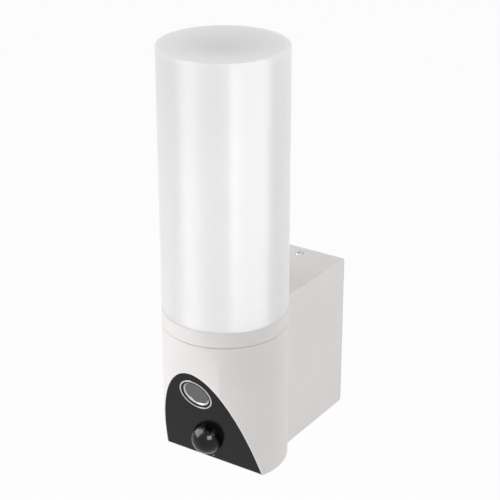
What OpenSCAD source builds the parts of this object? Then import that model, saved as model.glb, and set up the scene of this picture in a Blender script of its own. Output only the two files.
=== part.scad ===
// Pillar lamp with a camera: an opal diffuser over a slant-fronted housing, carried by a wall box.
// Pieces are drawn with the pillar's axis at x = y = 0, its base at z = 0 and the wall on the +Y side.
// in_place() then moves them to the part's frame, whose origin is on the wall, midway up the wall box.

/* [Pillar] */
// Outside diameter of the housing and the collar
body_d = 80; // [76:1:90]
// Height of the lower housing, from its base to the seam
housing_h = 94.5; // [90:0.5:110]
// Wall thickness of the lower housing
housing_wall = 2.5; // [2:0.1:3]
// Thickness of the housing's floor
floor_t = 2.5; // [2.5:0.1:3.5]
// Depth of the shadow groove at the seam, in each of the two pieces
seam_groove = 0.5; // [0.2:0.1:1]
// Clearance between pieces that plug into each other
fit_gap = 0.2; // [0.1:0.05:0.4]

/* [Collar] */
// Height of the collar above the seam
collar_h = 10.5; // [9:0.5:16]
// Wall thickness of the collar round the diffuser's skirt
collar_wall = 2.2; // [1.8:0.1:3]
// Thickness of the collar's shelf
shelf_t = 3; // [2:0.5:4]
// Depth of the collar's spigot in the housing
spigot_h = 4; // [3.5:0.5:8]
// Wall thickness of the spigot
spigot_wall = 2.2; // [2:0.1:3]
// Section diameter of the collar's sealing ring
seal_d = 1.4; // [1:0.1:1.6]

/* [Diffuser] */
// Height of the diffuser above the collar
diffuser_h = 169; // [120:1:220]
// Wall thickness of the diffuser
diffuser_wall = 2.5; // [2:0.1:3]
// Radius of the diffuser's top edge
crown_r = 0.8; // [0.4:0.1:1.6]
// Width of the flat rim round the dish
rim_w = 0.5; // [0.3:0.1:3]
// Depth of the dish in the diffuser's top
dish_depth = 2; // [1:0.1:3]
// Height of the thick foot inside the diffuser, above the collar
foot_h = 4; // [2:0.5:10]
// Thickness of the flat seal under the diffuser's skirt
skirt_seal_t = 1; // [0.5:0.1:2]
// Diameter of the gate mark in the middle of the dish
gate_d = 2.4; // [1:0.1:4]
// Height of the gate mark
gate_h = 0.3; // [0.1:0.1:1]

/* [Light source] */
// Thickness of the disc that carries the light column
carrier_t = 3; // [2:0.5:5]
// Width of the square light column
column_w = 22; // [18:1:30]
// Wall thickness of the light column
column_wall = 2; // [1.5:0.1:3]
// Air left between the column's cap and the diffuser's top
column_headroom = 24; // [15:1:50]
// Thickness of the cap on the column
cap_t = 3; // [2:0.5:5]
// Depth of the cap's plug in the column
cap_plug_h = 5; // [3:0.5:10]
// Width of each strip of lights
strip_w = 16; // [12:1:18]
// Thickness of each strip of lights
strip_t = 1.2; // [0.8:0.1:2]
// Margin between a strip and each end of the column
strip_margin = 4; // [2:0.5:10]
// Side of each light chip
chip_w = 3; // [2:0.1:5]
// Height of each light chip
chip_h = 0.8; // [0.5:0.1:1.5]
// Least distance from one light chip to the next
chip_pitch = 11; // [8:1:20]
// Diameter of the lead hole in the carrier
lead_hole_d = 8; // [6:0.5:12]

/* [Front panel] */
// Tilt of the panel from upright
face_tilt = 19.1; // [17:0.1:21]
// Setback of the panel's foot from the front of the pillar
face_setback = 26; // [24:0.5:30]
// Width of the white lip round the panel
face_lip = 0.6; // [0.4:0.1:1.2]
// Gap between the panel's edge and the lip
panel_gap = 0.15; // [0.1:0.05:0.3]
// Thickness of the panel
panel_t = 2; // [1.8:0.1:2.6]
// Thickness of the gasket behind the panel
gasket_t = 0.6; // [0.4:0.1:1]
// Width of the ledge that the gasket lies on
ledge_w = 2.1; // [1.8:0.1:2.4]
// Thickness of the ledge
ledge_t = 2; // [1.5:0.1:3]

/* [Camera] */
// Distance from the panel's top edge down the slope to the lens axis
lens_drop = 18.3; // [18:0.1:22]
// Middle diameter of the outer silver ring
ring_d = 22.8; // [22.6:0.1:23.4]
// Width of the outer silver ring
ring_w = 1; // [0.6:0.1:1.4]
// Depth of the outer silver ring's seat in the panel
ring_seat = 0.8; // [0.5:0.1:1.2]
// Height of the outer silver ring above the panel
ring_proud = 0.25; // [0.1:0.05:0.6]
// Outside diameter of the black bezel
bezel_d = 20.4; // [19.8:0.1:21]
// Sink of the bezel's rim below the panel's face
bezel_sink = 0.3; // [0.1:0.1:0.6]
// Wall thickness of the bezel's rim
bezel_wall = 0.6; // [0.5:0.1:0.8]
// Overhang of the bezel's flange behind the panel
bezel_flange_w = 1.2; // [0.8:0.1:1.2]
// Thickness of the bezel's flange
bezel_flange_t = 2.2; // [2:0.1:2.5]
// Sink of the inner silver ring below the panel's face
inner_ring_sink = 1; // [0.8:0.1:1.2]
// Width of the inner silver ring
inner_ring_w = 1.5; // [1:0.1:2]
// Depth of the lens window's front below the panel's face
window_sink = 1.9; // [1.6:0.1:2.2]
// Thickness of the lens window
window_t = 1; // [0.8:0.1:1.2]
// Width of the seat under the lens window
window_seat_w = 1.8; // [1:0.1:2]
// Diameter of the lens barrel's head
barrel_d = 14; // [13:0.5:15]
// Length of the lens barrel's head
barrel_head_h = 4.5; // [3:0.5:6]
// Diameter of the lens barrel's thread
barrel_thread_d = 11.8; // [10:0.1:12]
// Diameter of the front lens element
element_d = 8.6; // [7:0.1:9]
// Bulge of the front lens element
element_h = 1.2; // [0.8:0.1:1.8]
// Depth of the hood in front of the lens element
hood_h = 2.6; // [2:0.1:3.5]
// Distance from the panel's face to the camera board
camera_depth = 17; // [16:0.5:20]
// Width of the lens holder's square base
holder_w = 17; // [16:0.5:18]
// Thickness of the lens holder's base
holder_base_t = 3.5; // [3:0.5:4]
// Outside diameter of the lens holder's tube
holder_tube_d = 15; // [14:0.5:16]
// Length of the lens holder with its tube
holder_h = 7.5; // [6:0.5:8]
// Width and height of the image sensor
sensor_chip = [7.5, 6.5];
// Thickness of the image sensor
sensor_chip_t = 1; // [0.5:0.1:1.2]

/* [Motion sensor and status light] */
// Diameter of the dome
dome_d = 20.8; // [18:0.1:21]
// Wall thickness of the dome
dome_wall = 1; // [0.7:0.1:1.5]
// Height of the dome's centre above the panel's face
dome_proud = 0.5; // [0:0.1:1.5]
// Distance from the panel's foot up the slope to the dome's axis
dome_rise = 20.4; // [19:0.1:22]
// Overhang of the dome's flange behind the panel
dome_flange_w = 1.6; // [1:0.1:2]
// Thickness of the dome's flange
dome_flange_t = 1; // [0.8:0.1:1.5]
// Distance from the panel's face to the sensor board
sensor_depth = 9.5; // [8.5:0.1:10]
// Width of the sensor board
sensor_board_w = 25; // [24:0.5:28]
// Distance of the sensor board's screws from the dome's axis, along the slope
sensor_post_rise = 13; // [12.6:0.1:13.5]
// Diameter of the motion sensor's can
can_d = 9.2; // [8:0.1:10]
// Height of the motion sensor's can
can_h = 4.2; // [3:0.1:4.5]
// Width and height of the window in the can
can_window = [4, 3];
// Diameter of the status light
light_d = 2.2; // [1.8:0.1:2.4]
// Distance from the panel's foot up the slope to the status light
light_rise = 2.8; // [2.6:0.1:3.2]
// Height of the status light's chip on the sensor board
light_chip_h = 1.2; // [0.8:0.1:1.6]

/* [Boards and screws] */
// Thickness of the circuit boards
board_t = 1.6; // [1:0.1:2]
// Shank diameter of the housing screws
screw_d = 3; // [2.6:0.1:3.5]
// Head diameter of the housing screws
screw_head_d = 5.5; // [5:0.1:6.5]
// Head height of the housing screws
screw_head_h = 2; // [1.5:0.1:2.5]
// Shank diameter of the board screws
board_screw_d = 2; // [1.6:0.1:2.2]
// Head diameter of the board screws
board_screw_head_d = 3.6; // [3:0.1:4]
// Head height of the board screws
board_screw_head_h = 1.3; // [1:0.1:1.6]
// Length of thread that a housing screw has in its boss
screw_grip = 8; // [6:0.5:10]
// Length of thread that a board screw has in its post
board_screw_grip = 5; // [4:0.5:6]
// Clearance round a screw in its own thread
thread_gap = 0.05; // [0.02:0.01:0.1]
// Clearance round a screw in a plain hole
hole_gap = 0.25; // [0.1:0.05:0.4]
// Wall of plastic round a screw's thread
boss_wall = 2.2; // [1.8:0.1:2.5]
// Wall of plastic round a board screw's thread
post_wall = 1.3; // [1.1:0.1:1.4]

/* [Main board and service port] */
// Distance of the main board's face behind the pillar's axis
board_y = 6; // [5.5:0.5:7]
// Width of the main board
board_w = 54; // [50:1:58]
// Height of the main board
main_board_h = 62; // [55:1:66]
// Height of the main board's lower edge above the housing's floor
board_lift = 4.5; // [4.2:0.1:6]
// Depth of the main board's edge in its rails
rail_grip = 2; // [1.5:0.1:3]
// Wall thickness of the rails
rail_wall = 1.8; // [1.5:0.1:2.5]
// Height of the rails above the housing's floor
rail_h = 56; // [40:1:60]
// Width, thickness and height of the shield can on the main board
shield_size = [22, 2.6, 24];
// Width, thickness and height of the aerial board
aerial_size = [30, 0.8, 8];
// Length and width of the service port
port_size = [32, 11];
// Depth of the service port's recess in the base
port_depth = 2.2; // [2:0.1:2.2]
// Height of the service port's block above the housing's floor
port_block_h = 2; // [1.5:0.1:2.5]
// Wall round the service port's recess
port_wall = 1.5; // [1.2:0.1:2]
// Clearance round the pieces that move
run_gap = 0.3; // [0.25:0.05:0.4]
// Width, thickness and height of the memory card
card_size = [11, 0.9, 15];
// Distance of the memory card to the left of the pillar's axis
card_x = 6; // [5:0.5:6.5]
// Wall thickness of the card socket
socket_wall = 0.5; // [0.4:0.1:0.8]
// Height of the memory card's end above the service port's block
card_lift = 1.5; // [1.2:0.1:2]
// Distance that the memory card springs out
card_travel = 3; // [2:0.1:3]
// Distance of the reset button to the right of the pillar's axis
button_x = 9.5; // [9:0.5:10.5]
// Diameter of the reset button's stem
button_d = 2.8; // [2.4:0.1:3.2]
// Travel of the reset button
button_travel = 0.8; // [0.4:0.1:1]
// Thickness of the collar on the reset button's stem
button_collar_t = 0.8; // [0.6:0.1:1]
// Height of the guide round the reset button's stem
button_guide_h = 2.8; // [2:0.1:3.2]
// Diameter of the finger dimple in the service plug
dimple_d = 8; // [6:0.5:9]
// Depth of the finger dimple in the service plug
dimple_depth = 0.7; // [0.4:0.1:1]

/* [Speaker] */
// Gap between the service port's block and the loudspeaker
speaker_gap = 1.9; // [1.5:0.1:4]
// Height of the loudspeaker's basket
basket_h = 5.4; // [4:0.1:7]
// Diameter of the loudspeaker's magnet
magnet_d = 14; // [10:0.5:16]
// Height of the loudspeaker's magnet
magnet_h = 3.2; // [2:0.1:5]
// Thickness of the mesh over the sound holes
mesh_t = 0.4; // [0.2:0.1:0.6]
// Diameter of each sound hole
sound_hole_d = 1.6; // [1:0.1:2]
// Distance from one ring of sound holes to the next
sound_pitch = 3.6; // [3:0.1:4]
// Rings of sound holes round the middle one
sound_rings = 2; // [1:1:2]
// Wall thickness of the rib round the loudspeaker
speaker_rib = 1; // [0.8:0.1:1.5]

/* [Wall box] */
// Width of the wall box
box_w = 60; // [56:1:66]
// Height of the wall box
box_h = 108; // [106:0.5:130]
// Wall thickness of the wall box
box_wall = 2.5; // [2:0.1:3]
// Radius of the wall box's long edges
box_edge_r = 1.2; // [0.5:0.1:2]
// Distance from the wall to the pillar's axis
reach = 97.5; // [92:0.5:120]
// Gap between the wall box's saddle and the pillar
saddle_gap = 0.15; // [0.1:0.05:0.4]
// Sideways distance of the saddle screws from the middle
saddle_screw_x = 14; // [12:0.5:18]
// Heights of the saddle screws above the base
saddle_screw_z = [20, 59];
// Depth of the screw pads behind the saddle
pad_h = 4; // [3:0.5:6]
// Diameter of the lead passage between the wall box and the housing
passage_d = 14; // [10:0.5:16]
// Distance from the seam down to the lead passage
passage_drop = 14.5; // [13.5:0.5:17]
// Bore of the grommet in the lead passage
passage_bore_d = 7; // [5:0.5:8]
// Thickness and overhang of the grommets' flanges
grommet_flange = 1.5; // [1:0.1:2]

/* [Power supply] */
// Distance from the saddle to the driver board
driver_gap = 9.5; // [9:0.5:14]
// Width of the driver board
driver_w = 44; // [40:1:48]
// Height of the driver board
driver_h = 60; // [50:1:62]
// Height of the driver board's lower edge above the base
driver_z = 8; // [6:0.5:12]
// Inset of the driver board's screws from its corners
driver_screw_inset = 4; // [3.5:0.1:6]
// Width, depth and height of the transformer's core
transformer_size = [20, 14, 18];
// Diameter and length of each capacitor
capacitor_size = [10, 15];
// Outside diameter, section diameter and height of the choke
choke_size = [14, 5];

/* [Wall fixing] */
// Thickness of the wall bracket's sheet
bracket_t = 1.6; // [1.2:0.1:2.5]
// Clearance between the wall bracket and the inside of the wall box
bracket_gap = 0.4; // [0.3:0.05:0.8]
// Length of the bracket's flanges
flange_l = 18; // [16:0.5:26]
// Width of the bracket's flanges
flange_w = 30; // [20:1:40]
// Distance between the bracket's two wall-screw slots
slot_pitch = 60; // [56:1:66]
// Width of the wall-screw slots
slot_w = 5; // [4:0.1:6]
// Length of the wall-screw slots
slot_l = 10; // [8:0.5:14]
// Diameter of the cable hole in the bracket
cable_hole_d = 18; // [14:0.5:20]
// Bore of the cable grommet
cable_bore_d = 10; // [8:0.5:12]
// Length of the cable grommet's nozzle
nozzle_h = 6; // [4:0.5:10]
// Thickness of the seal between the wall box and the wall
wall_seal_t = 1.5; // [1:0.1:3]
// Inset of the wall seal from the outside of the wall box
wall_seal_inset = 0.5; // [0.2:0.1:1]
// Distance from the wall to the locking screws
lock_back = 9.5; // [8.5:0.5:12]
// Thickness of the box wall left under a locking screw's washer
lock_web = 0.6; // [0.5:0.1:0.8]
// Height of a locking screw's head
lock_head_h = 1.2; // [1:0.1:1.6]
// Thickness of the washer under a locking screw's head
lock_washer_t = 0.5; // [0.4:0.1:0.6]
// Length of a locking screw's shank
lock_l = 9; // [8:0.5:12]
// Width across flats and height of the locking nuts
lock_nut = [5.5, 2.4];
// Width, depth and height of the terminal block
terminal_size = [13, 13, 32];
// Distance of the terminal block's middle from the middle of the bracket
terminal_x = 19.5; // [19:0.5:20]
// Distance of the earth screw from the middle of the bracket, sideways and down
earth_at = [17, 14];

/* [Hidden] */

$fn = 64;
// How far a cutting shape overshoots the surface that it cuts
cut = 1;
// Straight pieces that stand in for one quarter of a small rounded edge
edge_steps = 5;
// Straight pieces along the panel's curved edge
face_steps = 96;

// Pillar
body_r = body_d / 2;
bore_r = body_r - housing_wall;
diffuser_base = housing_h + collar_h;
lamp_h = diffuser_base + diffuser_h;
span = 2 * lamp_h;

// Collar and diffuser
spigot_r = bore_r - fit_gap;
spigot_in = spigot_r - spigot_wall;
shelf_top = housing_h + shelf_t;
collar_in = body_r - collar_wall;
skirt_r = collar_in - fit_gap;
skirt_in = skirt_r - diffuser_wall;
skirt_z = shelf_top + skirt_seal_t;
diffuser_r = body_r - fit_gap;
diffuser_in = diffuser_r - diffuser_wall;
diffuser_top_in = lamp_h - dish_depth - diffuser_wall;
dish_a = diffuser_r - crown_r - rim_w;
dish_r = (dish_a * dish_a + dish_depth * dish_depth) / (2 * dish_depth);
seal_z = housing_h - spigot_h / 2;
seal_r = spigot_r - seal_d / 2 + fit_gap / 2;

// Screws
screw_pilot_r = screw_d / 2 + thread_gap;
screw_hole_r = screw_d / 2 + hole_gap;
board_pilot_r = board_screw_d / 2 + thread_gap;
board_hole_r = board_screw_d / 2 + hole_gap;
boss_r = screw_pilot_r + boss_wall;
post_r = board_pilot_r + post_wall;

// Light column
carrier_angles = [30, 150, 270];
carrier_screw_r = spigot_in - boss_r - 4 * fit_gap;
shelf_in = carrier_screw_r - boss_r;
carrier_r = skirt_in - 2 * fit_gap;
carrier_top = shelf_top + carrier_t;
carrier_boss_h = screw_grip + spigot_h;
column_top = diffuser_top_in - column_headroom - cap_t;
column_h = column_top - carrier_top;
column_port_r = screw_pilot_r + column_wall / 2;
column_port_at = column_w / 2 - column_wall - column_port_r / 2;
strip_h = column_h - 2 * strip_margin;
chip_count = floor(strip_h / chip_pitch);

// Front panel: u runs across, v up the slope from the foot, and depth goes straight into the housing
face_foot_y = face_setback - body_r;
rebate_r = body_r - face_lip;
panel_r = rebate_r - panel_gap;
panel_foot = face_lip + panel_gap;
open_r = rebate_r - ledge_w;
open_foot = face_lip + ledge_w;
ledge_depth = panel_t + gasket_t;
lens_v = face_v(rebate_r) - lens_drop;
dome_v = dome_rise;

// Camera
bezel_r = bezel_d / 2;
window_back = window_sink + window_t;
window_r = bezel_r - bezel_wall - fit_gap / 2;
bezel_back = panel_t + bezel_flange_t;
barrel_front = bezel_back + run_gap;
barrel_back = camera_depth - sensor_chip_t - run_gap;
camera_post_ring = bezel_r + bezel_flange_w + post_r + run_gap;
camera_post_angles = [200, 270, 340];
camera_posts = [for (a = camera_post_angles) camera_post_ring * [cos(a), sin(a)]];
camera_board_low = camera_post_ring + post_r;

// Motion sensor
dome_r = dome_d / 2;
sensor_post_u = sensor_board_w / 2 - post_r - run_gap;
sensor_posts = [for (u = [-1, 1], v = [-1, 1]) [u * sensor_post_u, v * sensor_post_rise]];
sensor_board_foot = light_rise - light_d / 2 - run_gap;
sensor_board_top = dome_v + sensor_post_rise + post_r + run_gap;

// Main board and service port
board_z = floor_t + board_lift;
rail_x = board_w / 2 - rail_grip;
block_top = floor_t + port_block_h;
port_y = board_y - port_size[1] / 2 + rail_wall + board_t;
socket_t = card_size[1] + 2 * run_gap + 2 * socket_wall;
card_y = board_y - socket_t / 2;
card_z = block_top + card_lift;
plug_t = port_depth - fit_gap;
guide_r = button_d / 2 + thread_gap;
button_y = board_y - guide_r - port_wall - run_gap;
guide_top = block_top + button_guide_h;
switch_z = guide_top + run_gap + button_collar_t + button_travel + 2 * run_gap;
switch_bore_r = button_d / 3 + run_gap;
button_tip_z = switch_z + button_travel;

// Loudspeaker, between the service port and the rear of the housing's wall, which its rib is let into
speaker_front = port_y + port_size[1] / 2 + port_wall + speaker_gap;
speaker_rear = bore_r - speaker_rib / 2 - fit_gap;
speaker_r = (speaker_rear - speaker_front) / 2;
speaker_y = speaker_rear - speaker_r;
speaker_z = floor_t + mesh_t;

// Wall box
saddle_r = body_r + saddle_gap;
saddle_back = saddle_r + box_wall;
passage_z = housing_h - passage_drop;
wall_y = reach;
box_back = wall_y - wall_seal_t;
pad_y = saddle_back + pad_h;
saddle_boss_y = sqrt(bore_r * bore_r - saddle_screw_x * saddle_screw_x) - screw_grip;
driver_y = saddle_back + driver_gap;
driver_screw_u = driver_w / 2 - driver_screw_inset;
driver_screw_v = [driver_z + driver_screw_inset, driver_z + driver_h - driver_screw_inset];

// Wall fixing
mid_z = box_h / 2;
bracket_half_w = box_w / 2 - box_wall - bracket_gap;
bracket_low = box_wall + bracket_gap;
bracket_high = box_h - box_wall - bracket_gap;
bracket_y = wall_y - bracket_t;
bend_r = 2 * bracket_t;
lock_y = wall_y - lock_back;
lock_seat = box_wall - lock_web;
lock_head_z = lock_washer_t + fit_gap - lock_seat;

// Height up the slope at which the outline of radius rho meets the middle of the panel
function face_v(rho) = (rho - body_r + face_setback) / sin(face_tilt);

// Section of an upright cylinder of radius rho by the panel's plane, above the line v = foot
function face_outline(rho, foot) =
    let (axis = body_r - face_setback)
    let (half = acos((axis + foot * sin(face_tilt)) / rho))
    [for (i = [0 : face_steps])
        let (a = half * (2 * i / face_steps - 1))
        [rho * sin(a), (rho * cos(a) - axis) / sin(face_tilt)]];

// Place [y, z] of a point on the panel's middle line, v up the slope and depth into the housing
function face_point(v, depth) = [
    face_foot_y - v * sin(face_tilt) + depth * cos(face_tilt),
    v * cos(face_tilt) + depth * sin(face_tilt)
];

// Points of an arc about c, from angle a0 to angle a1
function arc(c, r, a0, a1) = [
    for (i = [0 : edge_steps])
        let (a = a0 + (a1 - a0) * i / edge_steps)
        [c[0] + r * cos(a), c[1] + r * sin(a)]
];

// Outline of a rectangle with round corners about the origin
function round_rect(w, h, r) = concat(
    arc([w / 2 - r, h / 2 - r], r, 0, 90),
    arc([r - w / 2, h / 2 - r], r, 90, 180),
    arc([r - w / 2, r - h / 2], r, 180, 270),
    arc([w / 2 - r, r - h / 2], r, 270, 360)
);

// Points of a curve that starts at p[0], ends at p[3] and leaves them towards p[1] and p[2]
function curve(p, steps) = [
    for (i = [0 : steps])
        let (t = i / steps, s = 1 - t)
        s * s * s * p[0] + 3 * s * s * t * p[1] + 3 * s * t * t * p[2] + t * t * t * p[3]
];

// Moves a piece from the drawing's axes to the part's frame on the wall
module in_place() {
    translate([0, -reach, -box_h / 2]) children();
}

// Puts a piece on the panel: x across, y up the slope from the foot, z out of the face
module on_face() {
    translate([0, face_foot_y, 0]) rotate([90 + face_tilt, 0, 0]) children();
}

module at_lens() {
    on_face() translate([0, lens_v, 0]) children();
}

module at_dome() {
    on_face() translate([0, dome_v, 0]) children();
}

// Everything in front of the plane that lies a given depth behind the panel's face
module in_front_of(depth) {
    on_face() translate([-span, -span, -depth]) cube(2 * span);
}

// Prism of the panel's outline, from one depth behind the face to another
module face_prism(rho, foot, from, to) {
    on_face() translate([0, 0, -to]) linear_extrude(to - from) polygon(face_outline(rho, foot));
}

// Extrudes a profile drawn in x and z along y
module along_y(y0, y1) {
    translate([0, y1, 0]) rotate([90, 0, 0]) linear_extrude(y1 - y0) children();
}

// Extrudes a profile drawn in y and z along x, centred
module along_x(w) {
    rotate([90, 0, 90]) linear_extrude(w, center = true) children();
}

// Round bar along y
module bar_y(x, z, r, y0, y1) {
    translate([x, y0, z]) rotate([-90, 0, 0]) cylinder(r = r, h = y1 - y0);
}

module ring(r_out, r_in, h) {
    difference() {
        cylinder(r = r_out, h = h);
        translate([0, 0, -cut]) cylinder(r = r_in, h = h + 2 * cut);
    }
}

module stadium(l, w, h) {
    for (side = [-1, 1])
        translate([side * (l - w) / 2, 0, 0]) cylinder(d = w, h = h);
    translate([(w - l) / 2, -w / 2, 0]) cube([l - w, w, h]);
}

// Screw with its head above z = 0, its shank below and a hexagonal socket in the head
module screw(d, head_d, head_h, l) {
    difference() {
        union() {
            cylinder(d = head_d, h = head_h);
            translate([0, 0, -l]) cylinder(d = d, h = l + head_h / 2);
        }
        translate([0, 0, head_h / 2]) cylinder(d = head_d / 2, h = head_h, $fn = 6);
    }
}

module housing_screw(l) {
    screw(screw_d, screw_head_d, screw_head_h, l);
}

module board_screw(l) {
    screw(board_screw_d, board_screw_head_d, board_screw_head_h, l);
}

module at_carrier_screws() {
    for (a = carrier_angles)
        rotate(a) translate([carrier_screw_r, 0, 0]) children();
}

module at_column_screws() {
    for (side = [-1, 1])
        translate([side * column_port_at, side * column_port_at, 0]) children();
}

module at_camera_posts(depth) {
    at_lens()
        for (p = camera_posts)
            translate([p[0], p[1], -depth]) children();
}

module at_sensor_posts(depth) {
    at_dome()
        for (p = sensor_posts)
            translate([p[0], p[1], -depth]) children();
}

module at_saddle_screws(y) {
    for (side = [-1, 1], z = saddle_screw_z)
        translate([side * saddle_screw_x, y, z]) rotate([-90, 0, 0]) children();
}

module at_driver_screws(y) {
    for (side = [-1, 1], z = driver_screw_v)
        translate([side * driver_screw_u, y, z]) rotate([-90, 0, 0]) children();
}

// Head of the lamp

module diffuser() {
    bore = [
        [0, skirt_z - cut],
        [skirt_in, skirt_z - cut],
        [skirt_in, diffuser_base + foot_h],
        [diffuser_in, diffuser_base + foot_h + diffuser_in - skirt_in],
        [diffuser_in, diffuser_top_in],
        [0, diffuser_top_in]
    ];
    color("white", 0.9) in_place() {
        rotate_extrude() difference() {
            union() {
                translate([0, diffuser_base]) square([diffuser_r - crown_r, diffuser_h]);
                translate([0, diffuser_base]) square([diffuser_r, diffuser_h - crown_r]);
                translate([diffuser_r - crown_r, lamp_h - crown_r]) circle(crown_r);
                translate([0, skirt_z]) square([skirt_r, diffuser_base - skirt_z + cut]);
            }
            polygon(bore);
            translate([0, lamp_h - dish_depth + dish_r]) circle(dish_r);
        }
        translate([0, 0, lamp_h - dish_depth - diffuser_wall / 2])
            cylinder(d = gate_d, h = diffuser_wall / 2 + gate_h);
    }
}

module diffuser_seal() {
    color("gainsboro") in_place()
        translate([0, 0, shelf_top]) ring(skirt_r, skirt_in, skirt_seal_t);
}

module collar() {
    section = [
        [spigot_in, housing_h - spigot_h],
        [spigot_r, housing_h - spigot_h],
        [spigot_r, seal_z - seal_d / 2],
        [spigot_r - seal_d + fit_gap / 2, seal_z - seal_d / 2],
        [spigot_r - seal_d + fit_gap / 2, seal_z + seal_d / 2],
        [spigot_r, seal_z + seal_d / 2],
        [spigot_r, housing_h],
        [body_r - seam_groove, housing_h],
        [body_r, housing_h + seam_groove],
        [body_r, diffuser_base - fit_gap],
        [collar_in, diffuser_base - fit_gap],
        [collar_in, shelf_top],
        [shelf_in, shelf_top],
        [shelf_in, housing_h],
        [spigot_in, housing_h]
    ];
    color("whitesmoke") in_place() difference() {
        rotate_extrude() polygon(section);
        at_carrier_screws() cylinder(r = screw_hole_r, h = diffuser_base);
    }
}

module collar_seal() {
    color("dimgray") in_place()
        translate([0, 0, seal_z]) rotate_extrude() translate([seal_r, 0]) circle(d = seal_d);
}

module led_carrier() {
    color("silver") in_place() difference() {
        translate([0, 0, shelf_top]) cylinder(r = carrier_r, h = carrier_t);
        at_carrier_screws() cylinder(r = screw_hole_r, h = diffuser_base);
        at_column_screws() cylinder(r = screw_hole_r, h = diffuser_base);
        cylinder(d = lead_hole_d, h = diffuser_base);
    }
}

module led_column() {
    color("lightgray") in_place() translate([0, 0, carrier_top]) difference() {
        union() {
            difference() {
                translate([-column_w / 2, -column_w / 2, 0]) cube([column_w, column_w, column_h]);
                translate([column_wall - column_w / 2, column_wall - column_w / 2, -cut])
                    cube([column_w - 2 * column_wall, column_w - 2 * column_wall, column_h + 2 * cut]);
            }
            at_column_screws() cylinder(r = column_port_r, h = column_h - cap_plug_h - fit_gap);
        }
        at_column_screws() translate([0, 0, -cut]) cylinder(r = screw_pilot_r, h = column_h + 2 * cut);
    }
}

// Three screws from above hold the carrier and collar, and two from below hold the column
module head_screws() {
    color("dimgray") in_place() {
        at_carrier_screws()
            translate([0, 0, carrier_top]) housing_screw(carrier_t + shelf_t + screw_grip);
        at_column_screws()
            translate([0, 0, shelf_top]) rotate([180, 0, 0]) housing_screw(carrier_t + screw_grip);
    }
}

module column_cap() {
    plug_w = column_w - 2 * column_wall - 2 * fit_gap;
    color("white") in_place() translate([0, 0, column_top]) {
        translate([-column_w / 2, -column_w / 2, 0]) cube([column_w, column_w, cap_t]);
        translate([-plug_w / 2, -plug_w / 2, -cap_plug_h]) cube([plug_w, plug_w, cap_plug_h + cap_t / 2]);
    }
}

module led_strips() {
    color("white") in_place()
        for (a = [0 : 90 : 270])
            rotate(a) translate([column_w / 2, -strip_w / 2, carrier_top + strip_margin])
                cube([strip_t, strip_w, strip_h]);
}

module led_chips() {
    color("khaki") in_place()
        for (a = [0 : 90 : 270], i = [0 : chip_count - 1])
            rotate(a)
                translate([column_w / 2 + strip_t, -chip_w / 2, carrier_top + strip_margin])
                    translate([0, 0, (i + 0.5) * strip_h / chip_count - chip_w / 2])
                        cube([chip_h, chip_w, chip_w]);
}

// Lower housing

// Bosses under the collar, each on a rib from the wall and running out in a cone
module carrier_bosses() {
    rib_w = boss_r;
    low = housing_h - carrier_boss_h;
    at_carrier_screws() {
        translate([0, 0, low]) cylinder(r = boss_r, h = carrier_boss_h);
        translate([0, 0, low - boss_r]) cylinder(r1 = screw_d / 2, r2 = boss_r, h = boss_r);
        translate([0, -rib_w / 2, low])
            cube([bore_r + housing_wall / 2 - carrier_screw_r, rib_w, carrier_boss_h - spigot_h - fit_gap]);
    }
}

module board_rails() {
    depth = board_t + 2 * rail_wall;
    intersection() {
        for (side = [-1, 1])
            translate([side < 0 ? -body_r : rail_x, board_y - rail_wall, floor_t / 2])
                cube([body_r - rail_x, depth, rail_h + floor_t / 2]);
        cylinder(r = bore_r + housing_wall / 2, h = housing_h);
    }
}

module saddle_bosses() {
    intersection() {
        at_saddle_screws(saddle_boss_y) cylinder(r = boss_r, h = screw_grip + housing_wall);
        cylinder(r = bore_r + housing_wall / 2, h = housing_h);
    }
}

// Block over the service port, with the guide for the reset button on it
module port_block() {
    translate([0, port_y, floor_t / 2])
        stadium(port_size[0] + 2 * port_wall, port_size[1] + 2 * port_wall, block_top - floor_t / 2);
    translate([button_x, button_y, floor_t])
        cylinder(r = guide_r + port_wall, h = guide_top - floor_t);
}

module port_cuts() {
    slot = [card_size[0] + 2 * run_gap, card_size[1] + 2 * run_gap];
    translate([0, port_y, -cut]) stadium(port_size[0], port_size[1], port_depth + cut);
    translate([-card_x - slot[0] / 2, card_y - slot[1] / 2, 0]) cube([slot[0], slot[1], block_top + cut]);
    translate([button_x, button_y, 0]) cylinder(r = guide_r, h = guide_top + cut);
}

module sound_holes() {
    translate([0, speaker_y, -cut]) {
        cylinder(d = sound_hole_d, h = floor_t + 2 * cut);
        for (k = [1 : sound_rings], i = [0 : 6 * k - 1])
            rotate(60 * i / k) translate([k * sound_pitch, 0, 0])
                cylinder(d = sound_hole_d, h = floor_t + 2 * cut);
    }
}

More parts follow.
